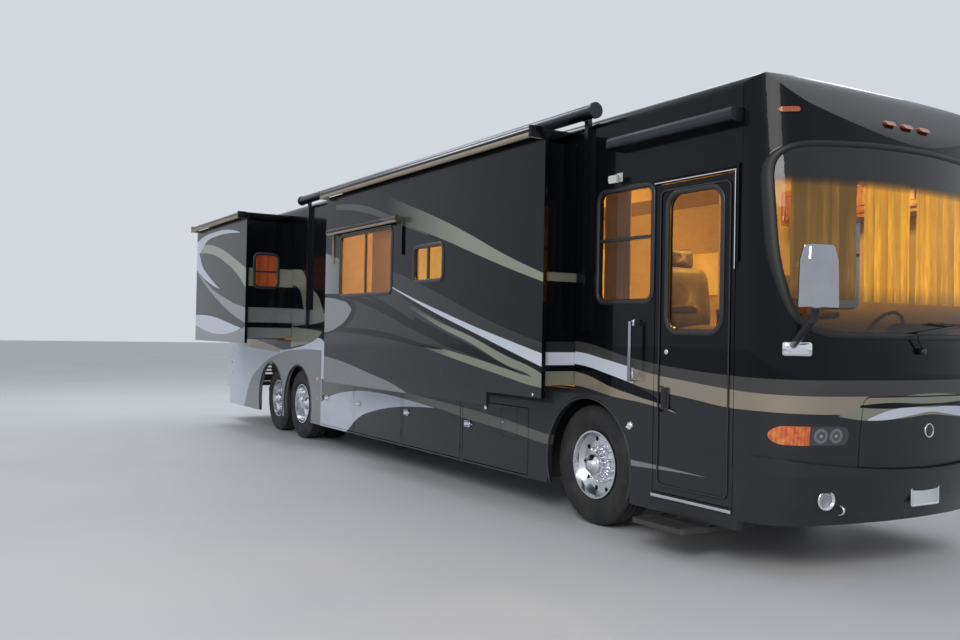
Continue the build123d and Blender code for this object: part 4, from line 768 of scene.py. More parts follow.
def copies_tree():
    """A node tree that puts copies of an object on the points of a circle or a row."""
    name = "even_copies"
    if name in bpy.data.node_groups:
        return bpy.data.node_groups[name]
    tree = bpy.data.node_groups.new(name, "GeometryNodeTree")
    face = tree.interface
    face.new_socket(name="Geometry", in_out="OUTPUT", socket_type="NodeSocketGeometry")
    kinds = {"Geometry": "Geometry", "Shape": "Object", "Count": "Int", "Radius": "Float", "Step": "Vector",
             "In a Row": "Bool", "Turn": "Vector", "Place": "Vector", "Finish": "Material"}
    for label, kind in kinds.items():
        face.new_socket(name=label, in_out="INPUT", socket_type=f"NodeSocket{kind}")
    add = tree.nodes.new
    link = tree.links.new
    given, out = add("NodeGroupInput").outputs, add("NodeGroupOutput")
    circle = add("GeometryNodeMeshCircle")
    link(given["Count"], circle.inputs["Vertices"])
    link(given["Radius"], circle.inputs["Radius"])
    row = add("GeometryNodeMeshLine")
    link(given["Count"], row.inputs["Count"])
    link(given["Step"], row.inputs["Offset"])
    pick = add("GeometryNodeSwitch")
    pick.input_type = "GEOMETRY"
    link(given["In a Row"], pick.inputs["Switch"])
    link(circle.outputs[0], pick.inputs["False"])
    link(row.outputs[0], pick.inputs["True"])
    position = add("GeometryNodeInputPosition")
    aim = add("FunctionNodeAlignEulerToVector")
    aim.axis = "X"
    link(position.outputs[0], aim.inputs["Vector"])
    facing = add("GeometryNodeSwitch")
    facing.input_type = "VECTOR"
    link(given["In a Row"], facing.inputs["Switch"])
    link(aim.outputs[0], facing.inputs["False"])
    shape = add("GeometryNodeObjectInfo")
    link(given["Shape"], shape.inputs["Object"])
    spread = add("GeometryNodeInstanceOnPoints")
    link(pick.outputs[0], spread.inputs["Points"])
    link(shape.outputs["Geometry"], spread.inputs["Instance"])
    link(facing.outputs[0], spread.inputs["Rotation"])
    move = add("GeometryNodeTransform")
    link(spread.outputs[0], move.inputs["Geometry"])
    link(given["Turn"], move.inputs["Rotation"])
    link(given["Place"], move.inputs["Translation"])
    real = add("GeometryNodeRealizeInstances")
    link(move.outputs[0], real.inputs[0])
    coat = add("GeometryNodeSetMaterial")
    link(real.outputs[0], coat.inputs["Geometry"])
    link(given["Finish"], coat.inputs["Material"])
    link(coat.outputs[0], out.inputs[0])
    return tree


STILL = (0.0, 0.0, 0.0)  # no step and no turn


def copies(name, shape, body, finish_name, count, places, radius=0.0, step=STILL, turn=STILL):
    """Copies of a shape round circles or along rows, one at each place, as one plain mesh."""
    tree = copies_tree()
    row = any(step)
    found = bmesh.new()
    for place in places:
        holder = bpy.data.objects.new("holder", bpy.data.meshes.new("holder"))
        bpy.context.scene.collection.objects.link(holder)
        modifier = holder.modifiers.new("copies", "NODES")
        modifier.node_group = tree
        values = {"Shape": shape, "Count": count, "Radius": radius, "Step": step, "In a Row": row,
                  "Turn": turn, "Place": place, "Finish": finish(finish_name)}
        for item in tree.interface.items_tree:
            if item.in_out == "INPUT" and item.name in values:
                modifier[item.identifier] = values[item.name]
        graph = bpy.context.evaluated_depsgraph_get()
        made = bpy.data.meshes.new_from_object(holder.evaluated_get(graph), depsgraph=graph)
        found.from_mesh(made)
        bpy.data.meshes.remove(made)
        bpy.data.objects.remove(holder)
    data = bpy.data.meshes.new(name)
    found.to_mesh(data)
    found.free()
    data.materials.append(finish(finish_name))
    piece = bpy.data.objects.new(name, data)
    bpy.context.scene.collection.objects.link(piece)
    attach(piece, body)
    return piece


def pattern(build):
    """A shape to be copied, kept out of the scene."""
    form = Form()
    build(form)
    bmesh.ops.recalc_face_normals(form.mesh, faces=form.mesh.faces)
    data = bpy.data.meshes.new("pattern")
    form.mesh.to_mesh(data)
    form.mesh.free()
    return bpy.data.objects.new("pattern", data)


def dress(name, *nodes):
    """Gives CAD nodes a finish."""
    for node in nodes:
        piece = frame["nodes"][node]
        if not piece.material_slots:
            piece.data.materials.append(finish(name))
        for slot in piece.material_slots:
            slot.material = finish(name)


def nodes_like(*words):
    """CAD nodes whose names start with one of these words."""
    return [node for node in frame["nodes"] if node.startswith(words)]


def surface_of(*nodes):
    """A tree for finding where a line meets these CAD nodes."""
    verts, faces = [], []
    for node in nodes:
        data = frame["nodes"][node].data
        start = len(verts)
        verts.extend(v.co.copy() for v in data.vertices)
        faces.extend([start + i for i in face.vertices] for face in data.polygons)
    return BVHTree.FromPolygons(verts, faces)


def on_front(tree, y, z, lift=0.0):
    """The point of the nose at this y and z, lifted outwards."""
    for shift in (0.0, -0.008, 0.008, -0.016, 0.016, -0.03, 0.03):
        start = Vector((NOSE_X + 1.0, y, z + shift))
        hit, normal = tree.ray_cast(start, Vector((-1.0, 0.0, 0.0)))[:2]
        if hit is not None and hit.x > SEAM_X - 0.2:
            normal = normal if normal.x > 0 else -normal
            return Vector((hit.x, y, z)) + normal * lift
    raise RuntimeError(f"nothing of the nose lies at y {y:.3f}, z {z:.3f}")


def paint_property(name, description, default):
    """A colour that a user may change."""
    return bpy.props.FloatVectorProperty(
        name=name, description=description, subtype="COLOR", size=3, min=0, max=1, default=default)


class MOTORHOME_PG_settings(bpy.types.PropertyGroup):
    """Sizes and colours that a user may change."""

    body_black: paint_property("Body black", "Gloss paint of the upper body", (0.0035, 0.004, 0.006))
    body_charcoal: paint_property(
        "Body charcoal", "Metallic paint of the lower body", (0.028, 0.03, 0.034))
    stripe_white: paint_property("Stripe white", "White stripes and leaves", (0.72, 0.76, 0.84))
    stripe_silver: paint_property("Stripe silver", "Silver-grey areas", (0.3, 0.31, 0.31))
    stripe_sage: paint_property("Stripe sage", "Green-grey champagne stripes", (0.34, 0.345, 0.27))
    stripe_champagne: paint_property(
        "Stripe champagne", "Stripe over the door and nose", (0.4, 0.34, 0.26))
    tint: bpy.props.FloatProperty(
        name="Glass tint", description="How much the windows hide", subtype="FACTOR",
        min=0, max=1, default=0.3)
    # Strength of the cloths' painted glow, which stands in for lamps inside shining through them
    glow: bpy.props.FloatProperty(
        name="Lamp glow", description="Brightness of the cloth lit from inside", min=0, max=10, default=1.3)
    groove: bpy.props.FloatProperty(
        name="Tread depth", description="Depth of the tyres' grooves", unit="LENGTH",
        min=0, max=0.03, default=0.014)
    nuts: bpy.props.IntProperty(
        name="Wheel nuts", description="Nut covers on each wheel", min=3, max=12, default=10)
    pleat: bpy.props.FloatProperty(
        name="Pleat depth", description="Depth of the curtains' folds", unit="LENGTH",
        min=0, max=0.1, default=0.03)


class MotorhomeStep:
    """What the operators share."""

    bl_options = {"REGISTER", "UNDO"}


class MOTORHOME_OT_finishes(MotorhomeStep, bpy.types.Operator):
    """Give every carried-over solid its paint, metal, glass or plastic"""

    bl_idname = "motorhome.finishes"
    bl_label = "Finish the solids"

    def execute(self, context):
        dress("body_right", "right_wall")
        dress("body_left", "left_wall")
        dress("cap", "front_cap", "hood", "bumper")
        dress("tail", "rear_cap", "engine_door")
        dress("door_paint", "entry_door")
        dress("bay_paint", *nodes_like("bay_door"))
        dress("roof_paint", "roof")
        dress("main_paint", "main_slide")
        dress("rear_paint", "rear_slide")
        dress("left_paint", "left_slide")
        dress("clear", "windshield")
        dress("tint", "cab_glass", "entry_door_glass",
              *nodes_like("main_slide_glass", "rear_slide_glass", "left_slide_glass"))
        dress("steel", "chassis_frame", "basement", "entry_step")
        dress("cast", "front_axle", "rear_axles", "engine", "generator", *nodes_like("knuckle"))
        dress("alloy", *nodes_like("front_rim", "drive_rims", "tag_rim"))
        dress("bright_fittings", "fittings")
        dress("awning", "awnings")
        dress("mat", "floor")
        dress("plastic", "dashboard")
        dress("cherry", "cabinets")
        dress("white_plastic", "roof_units")
        dress("lamp_lenses", "lamps")
        return {"FINISHED"}


def tyre_profile(half, depth):
    """Half-width and radius of a truck tyre's section, from bead to bead."""
    side = [(0.76, 0.289), (0.86, 0.3), (0.88, 0.318), (0.95, 0.335), (0.985, 0.365), (1.0, 0.4),
            (0.985, 0.44), (0.965, 0.446), (0.955, 0.462), (0.93, 0.468), (0.9, 0.49), (0.86, 0.503),
            (0.78, 0.5085)]
    edge = 0.005 / half
    tread = []
    for middle in (0.54, 0.2):
        tread += [(middle + 1.4 * edge, 0.5105), (middle + edge, 0.511 - depth),
                  (middle - edge, 0.511 - depth), (middle - 1.4 * edge, 0.5115)]
    right = [(share * half, radius) for share, radius in side + tread]
    return right + [(-w, r) for w, r in reversed(right)]


class MOTORHOME_OT_tyres(MotorhomeStep, bpy.types.Operator):
    """Build the tyres with ribs, grooves and notched shoulders"""

    bl_idname = "motorhome.tyres"
    bl_label = "Tyres"

    half = 0.145  # half of a tyre's width
    twin_width = 0.4  # a wheel wider than this carries two tyres
    steps = 144  # places round a tyre; every fourth is notched
    notch = 0.007

    def execute(self, context):
        for node in nodes_like("front_tyre", "drive_tyres", "tag_tyre"):
            low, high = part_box(node)
            centre = (low + high) / 2
            twin = high.y - low.y > self.twin_width
            middles = [low.y + self.half, high.y - self.half] if twin else [centre.y]
            form = Form()
            for middle in middles:
                self.tyre(form, Vector((centre.x, middle, centre.z)), self.half)
            piece = form.done(f"{node}_tread", frame["nodes"][node]["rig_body"])
            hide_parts(node)
        return {"FINISHED"}

    def tyre(self, form, centre, half):
        """One tyre, turned about its axle."""
        profile = tyre_profile(half, settings().groove)
        rings = []
        for i in range(self.steps):
            angle = math.tau * i / self.steps
            notch = self.notch if i % 4 == 0 else 0.0
            ring = []
            for w, radius in profile:
                reach = radius - (notch if abs(w) > 0.76 * half and radius > 0.48 else 0.0)
                ring.append(centre + Vector((reach * math.cos(angle), w, reach * math.sin(angle))))
            rings.append(ring)
        form.skin(rings, "tyre", loop=True)


class MOTORHOME_OT_wheel_covers(MotorhomeStep, bpy.types.Operator):
    """Put chrome covers on the wheel nuts and hubs"""

    bl_idname = "motorhome.wheel_covers"
    bl_label = "Wheel covers"

    circle = 0.143  # radius of the circle that the nuts lie on
    faces = {"front": 1.105, "drive": 1.025, "tag": 1.05}  # y of each wheel's outer face
    nut_profile = [(0.0225, 0.0), (0.0225, 0.008), (0.0195, 0.012), (0.0195, 0.042), (0.017, 0.052),
                   (0.009, 0.06), (0.0, 0.062)]
    hub_profile = [(0.118, 0.0), (0.118, 0.006), (0.1, 0.016), (0.094, 0.05), (0.094, 0.093), (0.084, 0.109),
                   (0.05, 0.121), (0.046, 0.135), (0.03, 0.141), (0.0, 0.142)]

    def execute(self, context):
        nuts = settings().nuts
        cover = pattern(lambda form: form.turned(self.nut_profile, (0, 0, 0), (0, 0, 1), "chrome", 12))
        for word, plural in (("front", "rim"), ("drive", "rims"), ("tag", "rim")):
            place = AXLES[f"{word}_{plural}"]
            for side, name in ((1, "left"), (-1, "right")):
                body = frame["nodes"][f"{word}_{plural}_{name}"]["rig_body"]
                turn = (-side * math.pi / 2, math.pi / nuts, 0.0)
                spot = (place.x, side * self.faces[word], place.z)
                copies(f"{word}_nut_covers_{name}", cover, body, "chrome", nuts, [spot], self.circle,
                       turn=turn)
                form = Form()
                form.turned(self.hub_profile, spot, (0, side, 0), "chrome", 48)
                form.done(f"{word}_hub_cover_{name}", body)
        return {"FINISHED"}


# Windows: name, body, side, how far out, x and z limits, corner, bars upright or level, blind finish
WINDOWS = [
    ("passenger", "coach", -1, SIDE_Y, (4.33, 5.0, 1.9, 2.8), 0.07, [("level", 2.4)], None),
    ("driver", "coach", 1, SIDE_Y, (4.33, 5.0, 1.9, 2.8), 0.07, [("level", 2.4)], None),
    ("door", "door", -1, SIDE_Y, (5.178, 5.737, 1.66, 2.7), 0.11, [], None),
    ("lounge", "main_slide_room", -1, MAIN_OUT, (-0.32, 1.13, 2.05, 2.77), 0.06, [("upright", 0.42)], None),
    ("galley", "main_slide_room", -1, MAIN_OUT, (1.68, 2.31, 2.15, 2.5), 0.06, [("upright", 1.99)],
     "blind_cloth"),
    ("rear_left", "left_slide_room", 1, LEFT_OUT, (-2.5, -1.7, 2.15, 2.6), 0.06, [("upright", -2.1)],
     "blind_cloth"),
    ("middle_left", "left_slide_room", 1, LEFT_OUT, (-0.9, 0.55, 2.05, 2.77), 0.06, [("upright", -0.17)],
     "blind_cloth"),
    ("front_left", "left_slide_room", 1, LEFT_OUT, (1.7, 2.5, 2.15, 2.6), 0.06, [("upright", 2.1)],
     "blind_cloth"),
]
FRAME_SECTION = [(-0.012, -0.02), (-0.012, 0.004), (-0.004, 0.011), (0.018, 0.011), (0.03, 0.006),
                 (0.032, 0.0), (0.03, -0.004), (0.0, -0.02)]
BAR_HALF = 0.014  # half the width of a bar across a window
# The middle of the small window in the rear room's front end wall
BEDROOM_Y, BEDROOM_Z = -1.685, 2.48


class MOTORHOME_OT_window_frames(MotorhomeStep, bpy.types.Operator):
    """Frame the windows, with their bars"""

    bl_idname = "motorhome.window_frames"
    bl_label = "Window frames"

    def execute(self, context):
        for name, body, side, out, (x0, x1, z0, z1), corner, bars, blind in WINDOWS:
            form = Form()
            put = side_point(side, out)
            form.rim(outline(x0, x1, z0, z1, corner), FRAME_SECTION, put, "trim")
            for kind, at in bars:
                if kind == "upright":
                    low, high = put(at - BAR_HALF, z0, -0.02), put(at + BAR_HALF, z1, 0.004)
                else:
                    low, high = put(x0, at - BAR_HALF, -0.02), put(x1, at + BAR_HALF, 0.004)
                form.block(low, high, "trim", 0.003)
            form.done(f"{name}_window_frame", body)
        self.bedroom()
        return {"FINISHED"}

    def bedroom(self):
        """The frame and bar of the small window in the rear room's end wall."""
        form = Form()
        points = outline(BEDROOM_Y - 0.175, BEDROOM_Y + 0.175, BEDROOM_Z - 0.24, BEDROOM_Z + 0.24, 0.06)
        form.rim(points, FRAME_SECTION, lambda u, v, w: Vector((BEDROOM_WALL_X + w, u, v)), "trim")
        form.block((BEDROOM_WALL_X - 0.02, BEDROOM_Y - 0.17, BEDROOM_Z - 0.025),
                   (BEDROOM_WALL_X + 0.004, BEDROOM_Y + 0.17, BEDROOM_Z), "trim", 0.003)
        form.done("bedroom_window_frame", "rear_slide_room")


class MOTORHOME_OT_windshield_trim(MotorhomeStep, bpy.types.Operator):
    """Lay the gasket round the windshield and park the wipers"""

    bl_idname = "motorhome.windshield_trim"
    bl_label = "Windshield trim"

    def execute(self, context):
        nose = surface_of("front_cap", "windshield")
        form = Form()
        points = front_outline("windshield", 0.05)
        section = [(-0.022, 0.001), (-0.016, 0.008), (0.0, 0.011), (0.014, 0.009), (0.022, 0.002),
                   (0.02, -0.012), (-0.016, -0.012)]
        form.rim(points, section, lambda u, v, w: on_front(nose, u, v, w), "rubber")
        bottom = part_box("windshield")[0].z
        for pivot, way in ((-0.15, -1.0), (0.95, 1.0)):
            self.wiper(form, nose, pivot, way, bottom)
        form.done("windshield_gasket", "coach")
        return {"FINISHED"}

    def wiper(self, form, nose, pivot, way, bottom):
        """One wiper, parked along the foot of the glass."""
        foot = on_front(nose, pivot, bottom - 0.1, 0.03)
        elbow = on_front(nose, pivot + 0.08 * way, bottom + 0.02, 0.045)
        tip_y = pivot - 0.62 * way
        tip = on_front(nose, tip_y, bottom + 0.1, 0.04)
        form.tube([foot, elbow, tip], 0.009, "trim", 8)
        form.turned([(0.02, -0.03), (0.024, 0.0), (0.018, 0.014), (0.0, 0.016)], foot, (1, 0, 0), "trim", 16)
        blade = [on_front(nose, tip_y + way * reach, bottom + 0.075 + 0.05 * abs(reach), 0.022)
                 for reach in (-0.4, -0.2, 0.0, 0.2, 0.4)]
        form.tube(blade, 0.007, "rubber", 8)


CORNER_SMOOTHING = 6  # times that each point is drawn towards its neighbours


def left_turn(a, b, c):
    """Above 0 where the way from a over b to c turns left."""
    return (b[0] - a[0]) * (c[1] - a[1]) - (b[1] - a[1]) * (c[0] - a[0])


def chain(points):
    """One side of the hull round some points."""
    kept = []
    for point in points:
        while len(kept) > 1 and left_turn(kept[-2], kept[-1], point) <= 0:
            kept.pop()
        kept.append(point)
    return kept[:-1]


def front_outline(node, pitch):
    """The outline of a CAD node as seen from the front, as evenly spaced points, anticlockwise."""
    flat = sorted({(round(v.co.y, 4), round(v.co.z, 4)) for v in frame["nodes"][node].data.vertices})
    hull = [Vector(p) for p in chain(flat) + chain(reversed(flat))]
    even = []
    left = 0.0
    for a, b in zip(hull, hull[1:] + hull[:1]):
        length = (b - a).length
        along = left
        while along < length:
            even.append(a.lerp(b, along / length))
            along += pitch
        left = along - length
    for i in range(CORNER_SMOOTHING):
        even = [(a + 2 * b + c) / 4 for a, b, c in zip(even[-1:] + even[:-1], even, even[1:] + even[:1])]
    return even


def across(deep, along, z):
    """A point of a curtain that hangs across the vehicle."""
    return Vector((deep, along, z))


def drape(form, name, y0, y1, z0, z1, x, folds, depth, put=across):
    """A pleated curtain, across the vehicle or as put says; returns its cut size."""
    columns, rows = folds * 12, 24
    grid = []
    length = 0.0
    for r in range(rows + 1):
        z = z1 + (z0 - z1) * r / rows
        line = []
        for c in range(columns + 1):
            share = c / columns
            phase = math.tau * folds * share
            sway = 0.25 * math.sin(phase * 0.37 + 1.3) + 0.15 * math.sin(r * 0.4 + phase * 0.13)
            fold = depth * (math.sin(phase + 0.6 * sway) + 0.25 * math.sin(2 * phase + 0.5))
            y = y0 + (y1 - y0) * share + 0.3 * depth * math.cos(phase) * sway
            line.append(put(x + fold * (0.75 + 0.25 * r / rows), y, z))
        grid.append(line)
        if r == rows // 2:
            length = sum((b - a).length for a, b in zip(line, line[1:]))
    form.skin(grid, name, open_ring=True)
    return length, z1 - z0


class MOTORHOME_OT_curtains(MotorhomeStep, bpy.types.Operator):
    """Hang the pleated curtains behind the windshield"""

    bl_idname = "motorhome.curtains"
    bl_label = "Windshield curtains"

    def execute(self, context):
        low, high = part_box("curtains")
        x = (low.x + high.x) / 2
        depth = settings().pleat
        drapes = ((-1.04, -0.33, "gold_cloth"), (-0.25, 0.3, "lit_cloth"), (0.37, 1.04, "lit_cloth"))
        for number, (y0, y1, kind) in enumerate(drapes):
            form = Form()
            folds = max(4, round((y1 - y0) / 0.075))
            flat = drape(form, kind, y0, y1, low.z, high.z, x, folds, depth)
            piece = form.done(f"curtain_{number + 1}", "coach", weld=False)
        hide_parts("curtains")
        return {"FINISHED"}


ARCH_RADIUS = 0.575
BAY_OUT = SIDE_Y + 0.008
# The lip stands only 4 mm proud: the slide-outs' fascias pass over it with 6 mm to spare
LIP_SECTION = [(-0.011, -0.01), (-0.011, 0.001), (-0.006, 0.004), (0.006, 0.004), (0.011, 0.001),
               (0.011, -0.01)]
# Small lamps on each side of the body: x, z, radius, lens
SIDE_LAMPS = [(-1.99, 0.92, 0.02, "lamp_amber"), (-2.01, 0.636, 0.018, "lamp_red"),
              (-6.1, 1.02, 0.02, "lamp_red")]
# Places behind the tag axle and round the entry door: x, z
TAIL_LATCHES = [(-6.09, 0.825), (-5.07, 0.845)]
DOOR_LATCH = (5.18, 1.145)
DOOR_LOCK = (5.19, 1.5)
SCOOP_LIGHT = (4.775, 0.902)
FLOOD_LIGHT = (4.597, 2.907)
# Latches of the bay doors: share of the door's length, and height
BAY_LATCHES = {"right": (0.19, 0.08, 0.07, 0.09), "left": (0.12, 0.12, 0.12)}
BAY_LATCH_Z = 0.68
# Half the length and half the height of a latch
LATCH_HALF, LATCH_TALL = 0.055, 0.028


def latch(form, put, x, z):
    """A bright paddle in a dark dish with a bright rim."""
    half, tall = LATCH_HALF, LATCH_TALL
    section = [(-0.005, -0.003), (-0.005, 0.005), (0.0, 0.008), (0.006, 0.006), (0.008, -0.003)]
    form.rim(outline(x - half, x + half, z - tall, z + tall, 0.8 * tall, 5), section, put, "chrome")
    inset = 0.003
    form.block(put(x - half + inset, z - tall + inset, -0.004),
               put(x + half - inset, z + tall - inset, 0.002), "trim", 0.002)
    form.block(put(x - half * 0.7, z - tall * 0.6, 0.001),
               put(x + half * 0.75, z + tall * 0.55, 0.01), "chrome", 0.004)


def round_lamp(form, spot, axis, radius, kind):
    """A small round lamp with a bright bezel and a domed lens."""
    bezel = [(radius, -0.004), (radius * 1.3, -0.002), (radius * 1.3, 0.003), (radius * 1.1, 0.007),
             (radius, 0.005)]
    dome = [(radius, 0.001), (radius * 0.96, 0.007), (radius * 0.7, 0.012), (0.0, 0.014)]
    form.turned(bezel, spot, axis, "chrome", 20)
    form.turned(dome, spot, axis, kind, 20)


class MOTORHOME_OT_side_trim(MotorhomeStep, bpy.types.Operator):
    """Line the wheel arches and add the latches, lamps and lights of both sides"""

    bl_idname = "motorhome.side_trim"
    bl_label = "Side trim"

    def execute(self, context):
        for side, word in ((-1, "right"), (1, "left")):
            put = side_point(side, SIDE_Y)
            form = Form()
            for place in AXLES.values():
                path = []
                for i in range(49):
                    angle = math.radians(-23 + 226 * i / 48)
                    x = place.x + ARCH_RADIUS * math.cos(angle)
                    path.append(put(x, place.z + ARCH_RADIUS * math.sin(angle), 0.0))
                form.sweep(path, LIP_SECTION, "trim", up=(0.0, side, 0.0))
            for x, z, radius, kind in SIDE_LAMPS:
                round_lamp(form, put(x, z, 0.0), (0, side, 0), radius, kind)
            for x, z in TAIL_LATCHES:
                latch(form, put, x, z)
            form.done(f"{word}_side_trim", "coach")
            self.bay_latches(side, word)
        form = Form()
        round_lamp(form, Vector((3.943, GLASS_DEPTH - MAIN_OUT, 1.1)), (0, -1, 0), 0.018, "lamp_white")
        form.done("main_slide_lamp", "main_slide_room")
        self.door_latch()
        self.door_surround()
        return {"FINISHED"}

    def bay_latches(self, side, word):
        """A latch and a lock on each bay door, and what else its door carries."""
        put = side_point(side, BAY_OUT)
        lock = [(0.009, -0.002), (0.009, 0.004), (0.004, 0.005), (0.0, 0.002)]
        socket = [(0.011, -0.002), (0.011, 0.005), (0.005, 0.006), (0.0, 0.003)]
        for number, share in enumerate(BAY_LATCHES[word], 1):
            low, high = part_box(f"bay_door_{word}_{number}")
            form = Form()
            x = low.x + (high.x - low.x) * share
            latch(form, put, x, BAY_LATCH_Z)
            form.turned(lock, put(x + 0.09, BAY_LATCH_Z, 0.0), (0, side, 0), "chrome", 16)
            if (word, number) == ("right", 4):
                round_lamp(form, put(2.58, 0.875, 0.0), (0, side, 0), 0.018, "lamp_white")
                form.turned(socket, put(2.9, 0.76, 0.0), (0, side, 0), "chrome", 16)
            form.done(f"bay_latch_{word}_{number}", f"bay_door_{word}_{number}")

    def door_latch(self):
        """What the entry door carries: latch, lock and a bead near its edge."""
        put = side_point(-1, BAY_OUT)
        form = Form()
        x, z = DOOR_LATCH
        form.block(put(x - 0.043, z - 0.085, -0.002), put(x + 0.043, z + 0.085, 0.004), "trim", 0.003)
        form.block(put(x - 0.03, z - 0.07, 0.002), put(x + 0.025, z + 0.07, 0.009), "rubber", 0.004)
        lock = [(0.021, -0.002), (0.021, 0.004), (0.016, 0.009), (0.006, 0.01), (0.0, 0.006)]
        form.turned(lock, put(*DOOR_LOCK, 0.0), (0, -1, 0), "chrome", 20)
        low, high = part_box("entry_door")
        bead = [(-0.007, -0.003), (-0.004, 0.003), (0.004, 0.003), (0.007, -0.003)]
        edge = outline(low.x + 0.055, high.x - 0.05, low.z + 0.055, high.z - 0.05, 0.05, 6)
        form.rim(edge, bead, put, "trim")
        form.done("door_latch", "door")

    def door_surround(self):
        """What the wall carries round the entry door: scoop and flood lights, coils and rails."""
        put = side_point(-1, SIDE_Y)
        form = Form()
        scoop = [(0.036, -0.002), (0.036, 0.004), (0.03, 0.016), (0.018, 0.026), (0.0, 0.03)]
        x, z = SCOOP_LIGHT
        form.turned(scoop, put(x, z, 0.0), (0, -1, 0), "chrome", 28)
        pane = [(0.02, 0.0), (0.02, 0.004), (0.0, 0.005)]
        form.turned(pane, put(x, z - 0.017, 0.024), (0, -0.7, -0.7), "lamp_white", 20)
        x, z = FLOOD_LIGHT
        form.block(put(x - 0.037, z - 0.037, 0.0), put(x + 0.037, z + 0.038, 0.008), "white_plastic", 0.004)
        neck = [put(x, z, 0.006), put(x, z - 0.002, 0.04), put(x, z - 0.012, 0.055)]
        form.tube(neck, 0.01, "white_plastic")
        form.block(put(x - 0.052, z - 0.045, 0.05), put(x + 0.053, z + 0.011, 0.088), "white_plastic", 0.01)
        form.block(put(x - 0.044, z - 0.05, 0.055), put(x + 0.045, z - 0.041, 0.083), "lamp_white", 0.003)
        for z in (1.29, 1.7):
            angles = [math.tau * i / 12 for i in range(61)]
            coil = [put(4.84 + 0.016 * math.cos(a), z + 0.0014 * a, 0.042 + 0.016 * math.sin(a))
                    for a in angles]
            form.tube(coil, 0.0035, "chrome", 6)
        low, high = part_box("entry_door")
        put = side_point(-1, -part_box("right_wall")[0].y)
        rails = [
            ((low.x - 0.01, high.z + 0.012, -0.003), (high.x + 0.01, high.z + 0.02, 0.005), "chrome", 0.002),
            ((high.x - 0.002, 2.1, -0.003), (high.x + 0.006, high.z + 0.012, 0.005), "chrome", 0.002),
            ((low.x, low.z - 0.04, -0.003), (high.x, low.z - 0.016, 0.006), "alloy", 0.003),
        ]
        for start, end, kind, bevel in rails:
            form.block(put(*start), put(*end), kind, bevel)
        form.done("door_side_lights", "coach")


class MOTORHOME_OT_nose_trim(MotorhomeStep, bpy.types.Operator):
    """Ring the fog lamps and add the tow hooks, blank plate, bare disc, mirror brackets and mirror glass"""

    bl_idname = "motorhome.nose_trim"
    bl_label = "Nose trim"

    def execute(self, context):
        skin = surface_of("bumper", "lamps")
        form = Form()
        for side in (-1, 1):
            inner, outer = on_front(skin, side * 0.85, 0.536), on_front(skin, side * 0.99, 0.536)
            axis = (outer - inner).cross(Vector((0, 0, 1))) * side
            axis = axis if axis.x > 0 else -axis
            ring = [(0.052, -0.004), (0.054, 0.008), (0.06, 0.012), (0.068, 0.008), (0.07, -0.004)]
            form.turned(ring, (inner + outer) / 2 + Vector((0.006, 0, 0)), axis, "chrome", 40)
            hook = on_front(skin, side * 0.78, 0.46)
            angles = [math.pi * i / 12 for i in range(13)]
            bend = [hook + Vector((-0.02 + 0.055 * math.sin(a), 0.0, 0.032 * math.cos(a))) for a in angles]
            form.tube(bend, 0.0085, "chrome")
        spot = on_front(skin, 0.0, 0.535)

        def face(u, v, w):
            """A point of the plate, from its y, z and height."""
            return Vector((spot.x + 0.004 + w, u, v))

        form.block(face(-0.155, 0.458, -0.002), face(0.155, 0.612, 0.003), "plate", 0.002)
        section = [(-0.008, 0.0), (-0.008, 0.006), (0.0, 0.008), (0.005, 0.006), (0.006, -0.004)]
        form.rim(outline(-0.157, 0.157, 0.456, 0.614, 0.012, 4), section, face, "chrome")
        screw = [(0.007, 0.002), (0.006, 0.006), (0.0, 0.007)]
        for y in (-0.09, 0.09):
            form.turned(screw, face(y, 0.597, 0.0), (1, 0, 0), "chrome", 12)
        form.done("bumper_trim", "coach")
        self.disc()
        self.mirror_bases()
        self.mirror_glass()
        return {"FINISHED"}

    def disc(self):
        """A bare disc in a bright ring on the hood."""
        form = Form()
        spot = on_front(surface_of("hood"), 0.0, 0.985)
        ring = [(0.052, -0.004), (0.052, 0.004), (0.046, 0.01), (0.042, 0.0)]
        disc = [(0.043, -0.002), (0.043, 0.004), (0.02, 0.006), (0.0, 0.006)]
        form.turned(ring, spot, (1, 0, 0), "chrome", 40)
        form.turned(disc, spot, (1, 0, 0), "trim", 40)
        form.done("nose_disc", "generator_tray")

    def mirror_bases(self):
        """A bright bracket where each mirror's arm meets the cap."""
        skin = surface_of("front_cap")
        form = Form()
        for side in (-1, 1):
            inner, outer = on_front(skin, side * 1.1, 1.55), on_front(skin, side * 1.19, 1.55)
            along = (outer - inner).normalized()
            out = along.cross(Vector((0, 0, 1))) * side
            out = out if out.x > 0 else -out
            spot = (inner + outer) / 2
            rings = []
            for inset, height in ((0.0, -0.012), (0.0, 0.03), (0.012, 0.042), (0.028, 0.044)):
                edge = outline(inset - 0.095, 0.095 - inset, inset - 0.05, 0.05 - inset, 0.02, 4)
                rings.append([spot + along * u + Vector((0, 0, v)) + out * height for u, v in edge])
            form.skin(rings, "chrome")
        form.done("mirror_bases", "coach")

    def mirror_glass(self):
        """A pane let into the back of each mirror."""
        skin = surface_of("fittings")
        form = Form()
        for side in (-1, 1):
            for z0, z1 in ((1.87, 1.965), (1.985, 2.17)):
                edge = []
                for y, z in outline(1.235, 1.375, z0, z1, 0.02, 4):
                    hit = skin.ray_cast(Vector((6.0, side * y, z)), Vector((1.0, 0.0, 0.0)))[0]
                    if hit is None or hit.x > NOSE_X + 0.14:
                        raise RuntimeError("the mirror's back was not found")
                    edge.append(hit)
                middle = sum(edge, Vector()) / len(edge)
                rings = [[p + Vector((0.003, 0, 0)) for p in edge], [p - Vector((0.003, 0, 0)) for p in edge],
                         [p.lerp(middle, 0.05) - Vector((0.004, 0, 0)) for p in edge]]
                form.skin(rings, "mirror")
        form.done("mirror_glass", "coach")


